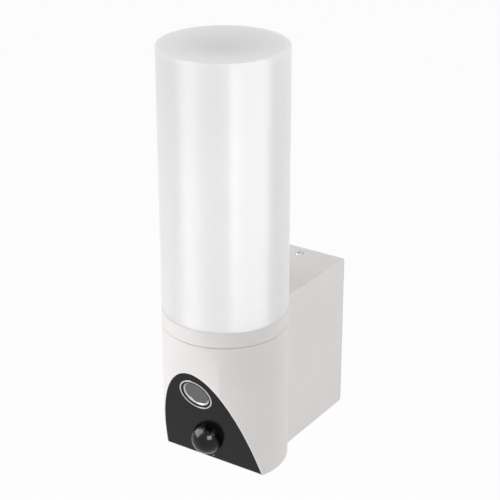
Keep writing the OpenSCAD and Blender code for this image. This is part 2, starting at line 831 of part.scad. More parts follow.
module lower_housing() {
    slot_t = board_t + fit_gap;
    groove = [
        [body_r - seam_groove, housing_h],
        [body_r + cut, housing_h - seam_groove - cut],
        [body_r + cut, housing_h + cut],
        [body_r - seam_groove, housing_h + cut]
    ];
    color("whitesmoke") in_place() difference() {
        union() {
            difference() {
                cylinder(r = body_r, h = housing_h);
                difference() {
                    translate([0, 0, floor_t]) cylinder(r = bore_r, h = housing_h);
                    in_front_of(ledge_depth + ledge_t);
                }
            }
            carrier_bosses();
            board_rails();
            saddle_bosses();
            port_block();
            translate([0, speaker_y, floor_t / 2])
                ring(speaker_r + fit_gap + speaker_rib, speaker_r + fit_gap, floor_t / 2 + basket_h / 2);
        }
        in_front_of(0);
        face_prism(rebate_r, face_lip, -cut, ledge_depth);
        face_prism(open_r, open_foot, 0, ledge_depth + ledge_t + cut);
        on_face() translate([0, light_rise, -sensor_depth])
            cylinder(r = light_d / 2 + run_gap, h = sensor_depth);
        rotate_extrude() polygon(groove);
        at_carrier_screws() translate([0, 0, housing_h - screw_grip - cut])
            cylinder(r = screw_pilot_r, h = screw_grip + 2 * cut);
        at_saddle_screws(saddle_boss_y - cut) cylinder(r = screw_pilot_r, h = body_r);
        bar_y(0, passage_z, passage_d / 2, 0, body_r + cut);
        for (side = [-1, 1])
            translate([side < 0 ? -board_w / 2 - fit_gap : rail_x - cut, board_y - fit_gap / 2, board_z])
                cube([rail_grip + fit_gap + cut, slot_t, housing_h]);
        port_cuts();
        sound_holes();
    }
}

module front_panel() {
    color([0.06, 0.06, 0.07]) in_place() difference() {
        union() {
            face_prism(panel_r, panel_foot, 0, panel_t);
            at_camera_posts(camera_depth) cylinder(r = post_r, h = camera_depth - panel_t / 2);
            at_sensor_posts(sensor_depth) cylinder(r = post_r, h = sensor_depth - panel_t / 2);
        }
        at_lens() {
            translate([0, 0, -ring_seat])
                ring((ring_d + ring_w + fit_gap) / 2, (ring_d - ring_w - fit_gap) / 2, ring_seat + cut);
            translate([0, 0, -panel_t - cut]) cylinder(r = bezel_r + fit_gap / 2, h = panel_t + 2 * cut);
        }
        at_dome() translate([0, 0, -panel_t - cut]) cylinder(r = dome_r + fit_gap / 2, h = panel_t + 2 * cut);
        on_face() translate([0, light_rise, -panel_t - cut])
            cylinder(r = light_d / 2 + thread_gap, h = panel_t + 2 * cut);
        at_camera_posts(camera_depth + cut) cylinder(r = board_pilot_r, h = board_screw_grip + 2 * cut);
        at_sensor_posts(sensor_depth + cut) cylinder(r = board_pilot_r, h = board_screw_grip + 2 * cut);
    }
}

module panel_gasket() {
    color("dimgray") in_place() difference() {
        face_prism(panel_r - panel_gap, panel_foot + panel_gap, panel_t, ledge_depth);
        face_prism(open_r, open_foot, panel_t - cut, ledge_depth + cut);
        on_face() translate([0, light_rise, -ledge_depth - cut])
            cylinder(r = light_d / 2 + run_gap, h = ledge_depth);
    }
}

module lens_ring() {
    r = ring_d / 2;
    w = ring_w / 2;
    section = [[r - w, -ring_seat], [r + w, -ring_seat], [r + w, 0], [r, ring_proud], [r - w, 0]];
    color("silver") in_place() at_lens() rotate_extrude() polygon(section);
}

module lens_bezel() {
    rim_in = bezel_r - bezel_wall;
    bore = rim_in - window_seat_w;
    section = [
        [rim_in, -bezel_sink],
        [bezel_r, -bezel_sink],
        [bezel_r, -panel_t],
        [bezel_r + bezel_flange_w, -panel_t],
        [bezel_r + bezel_flange_w, -bezel_back],
        [bore, -bezel_back],
        [bore, -window_back],
        [rim_in, -window_back]
    ];
    color([0.05, 0.05, 0.05]) in_place() at_lens() rotate_extrude() polygon(section);
}

module lens_inner_ring() {
    edge = fit_gap;
    section = [
        [window_r - inner_ring_w, -window_sink],
        [window_r, -window_sink],
        [window_r, -inner_ring_sink],
        [window_r - edge, -inner_ring_sink],
        [window_r - inner_ring_w, edge - window_sink]
    ];
    color("silver") in_place() at_lens() rotate_extrude() polygon(section);
}

module lens_window() {
    color("slategray", 0.5) in_place() at_lens()
        translate([0, 0, -window_back]) cylinder(r = window_r, h = window_t);
}

module lens_element() {
    r = element_d / 2;
    ball = (r * r + element_h * element_h) / (2 * element_h);
    base = -barrel_front - hood_h;
    color("midnightblue", 0.6) in_place() at_lens() intersection() {
        translate([0, 0, base + element_h - ball]) sphere(ball, $fn = 180);
        translate([0, 0, base]) cylinder(r = r + cut, h = element_h + cut);
    }
}

module lens_barrel() {
    head = barrel_d / 2;
    thread = barrel_thread_d / 2;
    hood_in = (element_d / 2 + head) / 2;
    section = [
        [0, -barrel_front - hood_h],
        [element_d / 2, -barrel_front - hood_h],
        [hood_in, -barrel_front],
        [head, -barrel_front],
        [head, -barrel_front - barrel_head_h],
        [thread, -barrel_front - barrel_head_h],
        [thread, -barrel_back],
        [0, -barrel_back]
    ];
    color("black") in_place() at_lens() rotate_extrude() polygon(section);
}

module lens_holder() {
    color("darkslategray") in_place() at_lens() translate([0, 0, -camera_depth]) difference() {
        union() {
            translate([-holder_w / 2, -holder_w / 2, 0]) cube([holder_w, holder_w, holder_base_t]);
            cylinder(d = holder_tube_d, h = holder_h);
        }
        translate([0, 0, -cut]) cylinder(d = barrel_thread_d + 2 * thread_gap, h = holder_h + 2 * cut);
    }
}

module image_sensor() {
    color("darkgreen") in_place() at_lens()
        translate([-sensor_chip[0] / 2, -sensor_chip[1] / 2, -camera_depth])
            cube([sensor_chip[0], sensor_chip[1], sensor_chip_t]);
}

module camera_board() {
    color("green") in_place() difference() {
        at_lens() translate([-camera_board_low, -camera_board_low, -camera_depth - board_t])
            cube([2 * camera_board_low, camera_board_low + holder_w / 2, board_t]);
        at_camera_posts(camera_depth + board_t + cut) cylinder(r = board_hole_r, h = board_t + 2 * cut);
    }
}

module pir_dome() {
    inner_r = dome_r - dome_wall;
    color([0.03, 0.03, 0.03]) in_place() at_dome() rotate_extrude() difference() {
        union() {
            intersection() {
                translate([0, dome_proud]) circle(dome_r);
                translate([0, dome_proud]) square(2 * dome_r);
            }
            translate([0, -panel_t - dome_flange_t]) square([dome_r, dome_proud + panel_t + dome_flange_t]);
            translate([0, -panel_t - dome_flange_t]) square([dome_r + dome_flange_w, dome_flange_t]);
        }
        intersection() {
            translate([0, dome_proud]) circle(inner_r);
            translate([0, dome_proud]) square(2 * dome_r);
        }
        translate([0, -panel_t - dome_flange_t - cut])
            square([inner_r, dome_proud + panel_t + dome_flange_t + cut]);
    }
}

module pir_sensor() {
    brim = 0.6;
    color("lightgray") in_place() at_dome() translate([0, 0, -sensor_depth]) difference() {
        union() {
            cylinder(d = can_d, h = can_h);
            cylinder(d = can_d + brim, h = brim);
        }
        translate([-can_window[0] / 2, -can_window[1] / 2, can_h - brim / 2])
            cube([can_window[0], can_window[1], brim]);
    }
}

module sensor_board() {
    color("green") in_place() difference() {
        on_face() translate([-sensor_board_w / 2, sensor_board_foot, -sensor_depth - board_t])
            cube([sensor_board_w, sensor_board_top - sensor_board_foot, board_t]);
        at_sensor_posts(sensor_depth + board_t + cut) cylinder(r = board_hole_r, h = board_t + 2 * cut);
    }
}

module panel_screws() {
    color("silver") in_place() {
        at_camera_posts(camera_depth + board_t) rotate([180, 0, 0]) board_screw(board_t + board_screw_grip);
        at_sensor_posts(sensor_depth + board_t) rotate([180, 0, 0]) board_screw(board_t + board_screw_grip);
    }
}

module status_light() {
    color("lightblue", 0.7) in_place() on_face() translate([0, light_rise, light_chip_h - sensor_depth])
        cylinder(d = light_d, h = sensor_depth - light_chip_h);
}

module status_chip() {
    color("ivory") in_place() on_face() translate([-light_d / 2, light_rise - light_d / 2, -sensor_depth])
        cube([light_d, light_d, light_chip_h]);
}

module main_board() {
    color("darkgreen") in_place()
        translate([-board_w / 2, board_y, board_z]) cube([board_w, board_t, main_board_h]);
}

// Folded tin can, open towards the board
module shield_can() {
    sheet = 0.3;
    color("silver") in_place()
        translate([-shield_size[0] / 2, board_y - shield_size[1], board_z + main_board_h / 2]) difference() {
            cube(shield_size);
            translate([sheet, sheet, sheet])
                cube([shield_size[0] - 2 * sheet, shield_size[1], shield_size[2] - 2 * sheet]);
        }
}

module wifi_antenna() {
    top = board_z + main_board_h;
    color("goldenrod") in_place() translate([-aerial_size[0] / 2, board_y + board_t, top - aerial_size[2]])
        cube(aerial_size);
}

module card_socket() {
    low = card_z + card_travel - run_gap;
    high = card_z + card_size[2] + run_gap;
    hole = [card_size[0] + 2 * run_gap, card_size[1] + 2 * run_gap, high - low + cut];
    outer = [hole[0] + 2 * socket_wall, socket_t, high - low + socket_wall];
    color("silver") in_place() difference() {
        translate([-card_x - outer[0] / 2, board_y - socket_t, low]) cube(outer);
        translate([-card_x - hole[0] / 2, card_y - hole[1] / 2, low - cut]) cube(hole);
    }
}

module memory_card() {
    color([0.1, 0.1, 0.12]) in_place()
        translate([-card_x - card_size[0] / 2, card_y - card_size[1] / 2, card_z]) cube(card_size);
}

module reset_switch() {
    body_h = button_tip_z + button_travel + run_gap + socket_wall - switch_z;
    half_w = switch_bore_r + 2 * socket_wall;
    color([0.15, 0.15, 0.15]) in_place() difference() {
        translate([button_x - half_w, button_y - half_w, switch_z])
            cube([2 * half_w, board_y - button_y + half_w, body_h]);
        translate([button_x, button_y, switch_z - cut])
            cylinder(r = switch_bore_r, h = body_h - socket_wall + cut);
    }
}

// Stem with a collar that keeps it from falling out of its guide
module reset_button() {
    stem_low = port_depth + fit_gap;
    collar_z = guide_top + run_gap;
    color("white") in_place() translate([button_x, button_y, 0]) {
        translate([0, 0, stem_low]) cylinder(d = button_d, h = collar_z + button_collar_t - stem_low);
        translate([0, 0, collar_z]) cylinder(r = guide_r + port_wall / 2, h = button_collar_t);
        translate([0, 0, collar_z]) cylinder(r = button_d / 3, h = button_tip_z - collar_z);
    }
}

module service_plug() {
    l = port_size[0] - 2 * run_gap;
    w = port_size[1] - 2 * run_gap;
    color("lightgray") in_place() translate([0, port_y, 0]) difference() {
        stadium(l, w, plug_t);
        translate([w / 2 - l / 2 + fit_gap, 0, -cut]) cylinder(d = dimple_d, h = dimple_depth + cut);
    }
}

module speaker_mesh() {
    color("black") in_place() translate([0, speaker_y, floor_t]) cylinder(r = speaker_r, h = mesh_t);
}

module speaker_basket() {
    neck = magnet_d / 2;
    rim = speaker_r / 7;
    section = [
        [speaker_r - rim, 0],
        [speaker_r, 0],
        [speaker_r, rim],
        [neck + rim / 2, basket_h - rim],
        [neck, basket_h],
        [neck - rim, basket_h],
        [neck - rim, basket_h - rim],
        [speaker_r - rim, rim / 2]
    ];
    color("gray") in_place() translate([0, speaker_y, speaker_z]) rotate_extrude() polygon(section);
}

module speaker_cone() {
    r = speaker_r * 6 / 7 - fit_gap / 2;
    skin = 0.4;
    cap_r = r / 3;
    rise = basket_h / 3;
    section = [
        [0, rise * 0.8],
        [cap_r, rise],
        [r - skin, 0],
        [r, 0],
        [r, skin],
        [cap_r, rise + skin],
        [0, rise * 0.8 + skin]
    ];
    color([0.12, 0.12, 0.12]) in_place() translate([0, speaker_y, speaker_z])
        rotate_extrude() polygon(section);
}

module speaker_magnet() {
    color("dimgray") in_place()
        translate([0, speaker_y, speaker_z + basket_h]) cylinder(d = magnet_d, h = magnet_h);
}

// Wall box

module lead_grommet() {
    flange_r = passage_d / 2 + grommet_flange;
    front = bore_r - grommet_flange;
    back = saddle_back + grommet_flange;
    color([0.2, 0.2, 0.2]) in_place() difference() {
        union() {
            bar_y(0, passage_z, (passage_d - fit_gap) / 2, front, back);
            bar_y(0, passage_z, flange_r, saddle_back, back);
        }
        bar_y(0, passage_z, passage_bore_d / 2, 0, wall_y);
    }
}

module box_outline(inset) {
    translate([0, box_h / 2]) polygon(round_rect(box_w - 2 * inset, box_h - 2 * inset, box_edge_r));
}

module wall_box() {
    lock_head_r = screw_head_d / 2 + run_gap;
    color("whitesmoke") in_place() difference() {
        union() {
            difference() {
                along_y(0, box_back) box_outline(0);
                difference() {
                    along_y(0, box_back + cut) box_outline(box_wall);
                    cylinder(r = saddle_back, h = box_h);
                }
            }
            at_saddle_screws(bore_r - screw_grip) cylinder(r = boss_r, h = pad_y - bore_r + screw_grip);
            at_driver_screws(0) cylinder(r = post_r, h = driver_y);
        }
        translate([0, 0, -cut]) cylinder(r = saddle_r, h = box_h + 2 * cut);
        at_saddle_screws(0) cylinder(r = screw_hole_r, h = wall_y);
        at_driver_screws(driver_y - board_screw_grip - cut) cylinder(r = board_pilot_r, h = driver_y);
        bar_y(0, passage_z, passage_d / 2, 0, wall_y);
        for (top = [true, false])
            at_lock(top) {
                translate([0, 0, -lock_seat]) cylinder(r = lock_head_r, h = lock_seat + cut);
                translate([0, 0, -box_wall - cut]) cylinder(r = screw_hole_r, h = box_wall + cut);
            }
    }
}

module saddle_screws() {
    color("dimgray") in_place() at_saddle_screws(pad_y) housing_screw(pad_y - saddle_boss_y);
}

module driver_board() {
    color("darkolivegreen") in_place() difference() {
        translate([-driver_w / 2, driver_y, driver_z]) cube([driver_w, board_t, driver_h]);
        at_driver_screws(driver_y - cut) cylinder(r = board_hole_r, h = board_t + 2 * cut);
    }
}

module driver_screws() {
    color("silver") in_place() at_driver_screws(driver_y + board_t) board_screw(board_t + board_screw_grip);
}

// Core with its winding bobbin standing out at both sides
module transformer() {
    bobbin_w = transformer_size[0] * 0.6;
    bobbin_h = transformer_size[2] * 1.3;
    color("goldenrod") in_place()
        translate([0, driver_y + board_t, driver_z + driver_h / 2 - transformer_size[2] / 2]) {
            translate([-transformer_size[0] / 2, 0, 0]) cube(transformer_size);
            translate([-bobbin_w / 2, 0, (transformer_size[2] - bobbin_h) / 2])
                cube([bobbin_w, transformer_size[1] * 0.8, bobbin_h]);
        }
}

module capacitors() {
    color("midnightblue") in_place()
        for (side = [-1, 1])
            bar_y(side * capacitor_size[0] * 0.7, driver_z + capacitor_size[0], capacitor_size[0] / 2,
                driver_y + board_t, driver_y + board_t + capacitor_size[1]);
}

module choke() {
    mid_r = (choke_size[0] - choke_size[1]) / 2;
    color("darkorange") in_place()
        translate([0, driver_y + board_t + choke_size[1] / 2, driver_z + driver_h - choke_size[0] / 2])
            rotate([90, 0, 0]) rotate_extrude() translate([mid_r, 0]) circle(d = choke_size[1]);
}

// Bent sheet: a back plate with a flange at the top and at the bottom
module wall_bracket() {
    front = wall_y - flange_l;
    bend_y = wall_y - bend_r;
    section = concat(
        [[front, bracket_low], [front, bracket_low + bracket_t]],
        arc([bend_y, bracket_low + bend_r], bend_r - bracket_t, 270, 360),
        arc([bend_y, bracket_high - bend_r], bend_r - bracket_t, 0, 90),
        [[front, bracket_high - bracket_t], [front, bracket_high]],
        arc([bend_y, bracket_high - bend_r], bend_r, 90, 0),
        arc([bend_y, bracket_low + bend_r], bend_r, 360, 270)
    );
    color("lightsteelblue") in_place() difference() {
        along_x(2 * bracket_half_w) polygon(section);
        for (side = [-1, 1])
            translate([side > 0 ? flange_w / 2 : -flange_w / 2 - box_w, front - cut, 0])
                cube([box_w, bend_y - front + cut, box_h]);
        for (side = [-1, 1])
            translate([0, bracket_y - cut, mid_z + side * slot_pitch / 2])
                rotate([0, 90, 0]) rotate([-90, 0, 0]) stadium(slot_l, slot_w, bracket_t + 2 * cut);
        bar_y(0, mid_z, cable_hole_d / 2, bracket_y - cut, wall_y + cut);
        bar_y(-earth_at[0], mid_z - earth_at[1], screw_pilot_r, bracket_y - cut, wall_y + cut);
        translate([0, lock_y, 0]) cylinder(r = screw_pilot_r, h = box_h);
    }
}

module wall_seal() {
    color("gainsboro") in_place() difference() {
        along_y(box_back, wall_y) box_outline(wall_seal_inset);
        along_y(box_back - cut, wall_y + cut) box_outline(box_wall);
    }
}

module cable_grommet() {
    neck_r = (cable_hole_d - fit_gap) / 2;
    flange_y = bracket_y - grommet_flange;
    nozzle_r = (cable_bore_d + cable_hole_d) / 4;
    color([0.15, 0.15, 0.15]) in_place() difference() {
        union() {
            bar_y(0, mid_z, neck_r, flange_y, wall_y);
            bar_y(0, mid_z, cable_hole_d / 2 + grommet_flange, flange_y, bracket_y);
            bar_y(0, mid_z, nozzle_r, flange_y - nozzle_h, wall_y);
        }
        bar_y(0, mid_z, cable_bore_d / 2, flange_y - nozzle_h - cut, wall_y + cut);
    }
}

// Three poles one above the other, each with a wire funnel at the side and a screw well at the front
module terminal_block() {
    pole_h = terminal_size[2] / 3;
    low = mid_z - terminal_size[2] / 2;
    color("ivory") in_place() difference() {
        translate([terminal_x - terminal_size[0] / 2, bracket_y - terminal_size[1], low]) cube(terminal_size);
        for (i = [0 : 2]) {
            bar_y(terminal_x, low + (i + 0.5) * pole_h, screw_head_d / 2 + fit_gap,
                bracket_y - terminal_size[1] - cut, bracket_y - terminal_size[1] / 2);
            translate([terminal_x - terminal_size[0] / 2 - cut, bracket_y - terminal_size[1] / 4, low])
                translate([0, 0, (i + 0.5) * pole_h]) rotate([0, 90, 0])
                    cylinder(d = screw_d, h = terminal_size[0] / 3 + cut);
        }
    }
}

module terminal_screws() {
    pole_h = terminal_size[2] / 3;
    low = mid_z - terminal_size[2] / 2;
    color("silver") in_place()
        for (i = [0 : 2])
            translate([terminal_x, bracket_y - terminal_size[1] / 2, low + (i + 0.5) * pole_h])
                rotate([90, 0, 0]) difference() {
                    cylinder(d = screw_head_d, h = screw_head_h);
                    translate([-screw_head_d, -fit_gap, screw_head_h / 2])
                        cube([2 * screw_head_d, 2 * fit_gap, screw_head_h]);
                }
}

module earth_screw() {
    color("gold") in_place()
        translate([-earth_at[0], bracket_y, mid_z - earth_at[1]]) rotate([90, 0, 0])
            housing_screw(bracket_t - fit_gap);
}

module lock_nuts() {
    r = lock_nut[0] / (2 * cos(30));
    color("silver") in_place()
        for (z = [bracket_low + bracket_t, bracket_high - bracket_t - lock_nut[1]])
            translate([0, lock_y, z]) difference() {
                cylinder(r = r, h = lock_nut[1], $fn = 6);
                translate([0, 0, -cut]) cylinder(r = screw_pilot_r, h = lock_nut[1] + 2 * cut);
            }
}

// Puts a piece on the screw axis of the box's top or bottom, with z = 0 at the outside and z outward
module at_lock(top) {
    translate([0, lock_y, top ? box_h : 0]) rotate([top ? 0 : 180, 0, 0]) children();
}

module locking_screw() {
    translate([0, 0, lock_head_z]) screw(screw_d, screw_head_d, lock_head_h, lock_l);
}

module lock_washer() {
    translate([0, 0, fit_gap / 2 - lock_seat]) ring(screw_head_d / 2, screw_pilot_r, lock_washer_t);
}

module lock_washer_top() {
    color([0.2, 0.2, 0.2]) in_place() at_lock(true) lock_washer();
}

module locking_screw_top() {
    color("silver") in_place() at_lock(true) locking_screw();
}

module lock_washer_bottom() {
    color([0.2, 0.2, 0.2]) in_place() at_lock(false) lock_washer();
}

module locking_screw_bottom() {
    color("silver") in_place() at_lock(false) locking_screw();
}

// Flat ribbon that hangs in a curve from the camera board to the main board
module camera_ribbon() {
    ribbon_t = 0.3;
    ribbon_w = 8;
    slack = 8;
    start_v = lens_v;
    board_back = camera_depth + board_t + ribbon_t;
    end_z = board_z + main_board_h / 3;
    route = curve([
        face_point(start_v, board_back),
        face_point(start_v, board_back + slack),
        [board_y - slack, end_z],
        [board_y - ribbon_t, end_z]
    ], 4 * edge_steps);
    last = len(route) - 1;
    side = [
        for (i = [0 : last])
            let (d = route[min(i + 1, last)] - route[max(i - 1, 0)])
            ribbon_t / 2 * [-d[1], d[0]] / norm(d)
    ];
    band = concat(
        [for (i = [0 : last]) route[i] + side[i]],
        [for (i = [last : -1 : 0]) route[i] - side[i]]
    );
    color("tan") in_place() along_x(ribbon_w) polygon(band);
}

diffuser();
diffuser_seal();
collar();
collar_seal();
led_carrier();
led_column();
head_screws();
column_cap();
led_strips();
led_chips();
lower_housing();
front_panel();
panel_gasket();
lens_ring();
lens_bezel();
lens_inner_ring();
lens_window();
lens_element();
lens_barrel();
lens_holder();
image_sensor();
camera_board();
pir_dome();
pir_sensor();
sensor_board();
panel_screws();
status_light();
status_chip();
main_board();
shield_can();
wifi_antenna();
card_socket();
memory_card();
reset_switch();
reset_button();
service_plug();
speaker_mesh();
speaker_basket();
speaker_cone();
speaker_magnet();
lead_grommet();
wall_box();
saddle_screws();
driver_board();
driver_screws();
transformer();
capacitors();
choke();
wall_bracket();
wall_seal();
cable_grommet();
terminal_block();
terminal_screws();
earth_screw();
lock_nuts();
lock_washer_top();
locking_screw_top();
lock_washer_bottom();
locking_screw_bottom();
camera_ribbon();
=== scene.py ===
"""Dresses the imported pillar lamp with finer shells, optics, screws and boards, and with their finishes."""

import logging
import math
from collections.abc import Callable, Iterable, Sequence
from dataclasses import dataclass
from enum import Enum
from functools import cache

import bmesh
import bpy
from mathutils import Matrix, Vector

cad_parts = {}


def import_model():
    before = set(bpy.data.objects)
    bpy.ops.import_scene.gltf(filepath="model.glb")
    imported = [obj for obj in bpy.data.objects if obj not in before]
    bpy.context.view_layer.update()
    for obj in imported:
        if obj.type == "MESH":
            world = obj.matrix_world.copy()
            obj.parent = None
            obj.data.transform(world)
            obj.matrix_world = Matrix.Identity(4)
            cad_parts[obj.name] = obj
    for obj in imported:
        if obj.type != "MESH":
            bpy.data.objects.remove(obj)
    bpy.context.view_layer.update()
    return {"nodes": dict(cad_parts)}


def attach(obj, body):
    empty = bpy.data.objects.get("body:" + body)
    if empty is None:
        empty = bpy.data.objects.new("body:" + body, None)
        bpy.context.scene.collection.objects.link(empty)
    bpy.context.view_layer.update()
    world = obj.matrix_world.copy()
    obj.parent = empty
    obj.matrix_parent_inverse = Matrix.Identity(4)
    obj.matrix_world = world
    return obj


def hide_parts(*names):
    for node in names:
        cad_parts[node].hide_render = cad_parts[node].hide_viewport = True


LOG = logging.getLogger("lamp")
MM = 0.001
# Points of a form that lie closer than this, in millimetres, become one.
MERGE = 0.002
DIFFUSER = "opal_diffuser_shell"

Rgba = tuple[float, float, float, float]
Four = tuple[float, float, float, float]
Spot = tuple[float, float, float]
Corner = tuple[float, float, float]
Point = tuple[float, float]
Piece = bpy.types.Object
Node = bpy.types.Node
Socket = bpy.types.NodeSocket
Outputs = bpy.types.NodeOutputs
Tree = bpy.types.NodeTree
Values = dict[str | int, object]


class Body(Enum):
    """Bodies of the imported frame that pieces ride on."""

    LAMP = "lamp"
    PLUG = "plug"
    CARD = "card"
    BUTTON = "button"
    TOP_WASHER = "top_washer"
    TOP_SCREW = "top_screw"
    BOTTOM_WASHER = "bottom_washer"
    BOTTOM_SCREW = "bottom_screw"


class Light(Enum):
    """What a lamp does."""

    FILL = "lights the part"
    SHINE = "shows in gloss, but not in the diffuser's"
    STRIP = "shows in the diffuser's gloss alone"


class Join(Enum):
    """Ways to put two forms together."""

    CUT = "DIFFERENCE"
    WELD = "UNION"


def srgb(red: float, green: float, blue: float) -> Rgba:
    """Turns a screen colour into the linear one that shaders use.

    Args:
        red: Red, 0 to 255.
        green: Green, 0 to 255.
        blue: Blue, 0 to 255.

    Returns:
        The linear colour, 0 to 1, with an alpha of 1.
    """
    levels = [value / 255 for value in (red, green, blue)]
    linear = [v / 12.92 if v <= 0.04045 else ((v + 0.055) / 1.055) ** 2.4 for v in levels]
    return linear[0], linear[1], linear[2], 1.0


def grey(level: float) -> Rgba:
    """Gives the linear colour of a neutral screen level, 0 to 255."""
    return srgb(level, level, level)


@dataclass(frozen=True)
class Layout:
    """Sizes that several sub-assemblies share, in millimetres, on the pillar's axes.

    The pillar's axis is x = y = 0, its base is z = 0 and the wall is on the +Y side.

    Attributes:
        body_r: Radius of the housing and the collar.
        wall: Wall thickness of the housing.
        housing_h: Height of the housing.
        seam: Width of the seam under the collar.
        diffuser_base: Height of the diffuser's lower edge.
        lamp_h: Height of the whole pillar.
        gap: How much slimmer the diffuser is than the collar.
        reach: Distance from the axis to the wall.
        box_h: Height of the wall box.
        face_tilt: Tilt of the face from upright, in degrees.
        face_setback: Distance of the face's foot behind the pillar's front.
        face_lip: Width of the lip round the panel.
        lens_drop: Distance of the lens axis down the slope from the top of the panel.
        dome_rise: Distance of the dome's axis up the slope from the foot.
        light_rise: Distance of the status light up the slope from the foot.
        light_hole_r: Radius of the light pipe's hole in the ledge and the gasket.
        carrier_ring: Radius of the ring of carrier screws.
        carrier_angles: Directions of the carrier screws, in degrees.
        saddle_at: Sideways distance and two heights of the saddle screws.
        passage: Radius and height of the lead passage.
        port_y: Distance of the service port behind the axis.
        card_at: Place of the memory card.
        button_at: Place of the reset button.
    """

    body_r: float = 40.0
    wall: float = 2.5
    housing_h: float = 94.5
    seam: float = 0.5
    diffuser_base: float = 105.0
    lamp_h: float = 274.0
    gap: float = 0.2
    reach: float = 97.5
    box_h: float = 108.0
    face_tilt: float = 19.1
    face_setback: float = 26.0
    face_lip: float = 0.6
    lens_drop: float = 18.3
    dome_rise: float = 20.4
    light_rise: float = 2.8
    light_hole_r: float = 1.4
    carrier_ring: float = 30.55
    carrier_angles: Spot = (30.0, 150.0, 270.0)
    saddle_at: Spot = (14.0, 20.0, 59.0)
    passage: Point = (7.0, 80.0)
    port_y: float = 3.9
    card_at: Point = (-6.0, 4.75)
    button_at: Point = (9.5, 2.75)

    @property
    def tilt(self) -> float:
        """Tilt of the face from upright, in radians."""
        return math.radians(self.face_tilt)

    @property
    def face_axis(self) -> float:
        """Distance of the face's foot in front of the pillar's axis."""
        return self.body_r - self.face_setback

    @property
    def lens_rise(self) -> float:
        """Distance of the lens axis up the slope from the face's foot."""
        return (self.face_setback - self.face_lip) / math.sin(self.tilt) - self.lens_drop

    def pillar(self) -> Matrix:
        """Gives the place of the pillar's axes in the frame."""
        return Matrix.Translation((0.0, -self.reach, -self.box_h / 2))

    def carrier_turns(self) -> list[Matrix]:
        """Gives the turns about the axis at which the carrier screws sit."""
        return [Matrix.Rotation(math.radians(angle), 4, "Z") for angle in self.carrier_angles]

    def face(self, rise: float = 0.0) -> Matrix:
        """Gives the place of axes on the face: x across, y up the slope, z out of the face.

        Args:
            rise: Distance of the origin up the slope from the foot.

        Returns:
            The matrix in the frame, in millimetres.
        """
        turn = Matrix.Rotation(math.pi / 2 + self.tilt, 4, "X")
        foot = Matrix.Translation((0.0, -self.face_axis, 0.0))
        return self.pillar() @ foot @ turn @ Matrix.Translation((0.0, rise, 0.0))

    def outline(self, radius: float, foot: float, steps: int = 128) -> list[Point]:
        """Cuts an upright cylinder by the face's plane, above a line near the foot.

        Args:
            radius: Radius of the cylinder.
            foot: Height of the line up the slope.
            steps: Straight pieces along the curve.

        Returns:
            The outline across and up the slope, from left to right over the top.
        """
        half = math.acos((self.face_axis + foot * math.sin(self.tilt)) / radius)
        angles = [half * (2 * i / steps - 1) for i in range(steps + 1)]
        return [
            (radius * math.sin(a), (radius * math.cos(a) - self.face_axis) / math.sin(self.tilt))
            for a in angles
        ]


LAYOUT = Layout()


def rounded(corners: Sequence[Corner], steps: int = 5) -> list[Point]:
    """Rounds the corners of a closed outline.

    Args:
        corners: x, y and radius of each corner.
        steps: Straight pieces along each rounded corner.

    Returns:
        The outline's points.
    """
    outline: list[Point] = []
    count = len(corners)
    for i, (x, y, radius) in enumerate(corners):
        here = Vector((x, y))
        if radius <= 0:
            outline.append((x, y))
            continue
        back = (Vector(corners[i - 1][:2]) - here).normalized()
        ahead = (Vector(corners[(i + 1) % count][:2]) - here).normalized()
        half = back.angle(ahead) / 2
        centre = here + (back + ahead).normalized() * (radius / math.sin(half))
        start = here + back * (radius / math.tan(half)) - centre
        end = here + ahead * (radius / math.tan(half)) - centre
        first = math.atan2(start.y, start.x)
        turn = (math.atan2(end.y, end.x) - first + math.pi) % (2 * math.pi) - math.pi
        for k in range(steps + 1):
            angle = first + turn * k / steps
            outline.append((centre.x + radius * math.cos(angle), centre.y + radius * math.sin(angle)))
    return outline


def arc(centre: Point, radius: float, first: float, last: float, steps: int) -> list[Point]:
    """Gives points along an arc.

    Args:
        centre: Middle of the arc.
        radius: Radius of the arc.
        first: Angle of the first point, in degrees.
        last: Angle of the last point, in degrees.
        steps: Straight pieces along the arc.

    Returns:
        The points, both ends included.
    """
    angles = [math.radians(first + (last - first) * i / steps) for i in range(steps + 1)]
    return [(centre[0] + radius * math.cos(a), centre[1] + radius * math.sin(a)) for a in angles]


def circle(radius: float, at: Point = (0.0, 0.0), steps: int = 64) -> list[Point]:
    """Gives the points of a circle, without repeating the first."""
    return arc(at, radius, 0.0, 360.0, steps)[:-1]


def stadium(length: float, width: float, at: Point = (0.0, 0.0), steps: int = 20) -> list[Point]:
    """Gives the outline of a slot with round ends that lies along x."""
    half = (length - width) / 2
    right = arc((at[0] + half, at[1]), width / 2, -90.0, 90.0, steps)
    return right + arc((at[0] - half, at[1]), width / 2, 90.0, 270.0, steps)


def box_corners(width: float, height: float, radius: float, at: Point = (0.0, 0.0)) -> list[Corner]:
    """Gives the corners of a rectangle about a point, for rounded()."""
    x, y = width / 2, height / 2
    signs = ((1, 1), (-1, 1), (-1, -1), (1, -1))
    return [(at[0] + sx * x, at[1] + sy * y, radius) for sx, sy in signs]


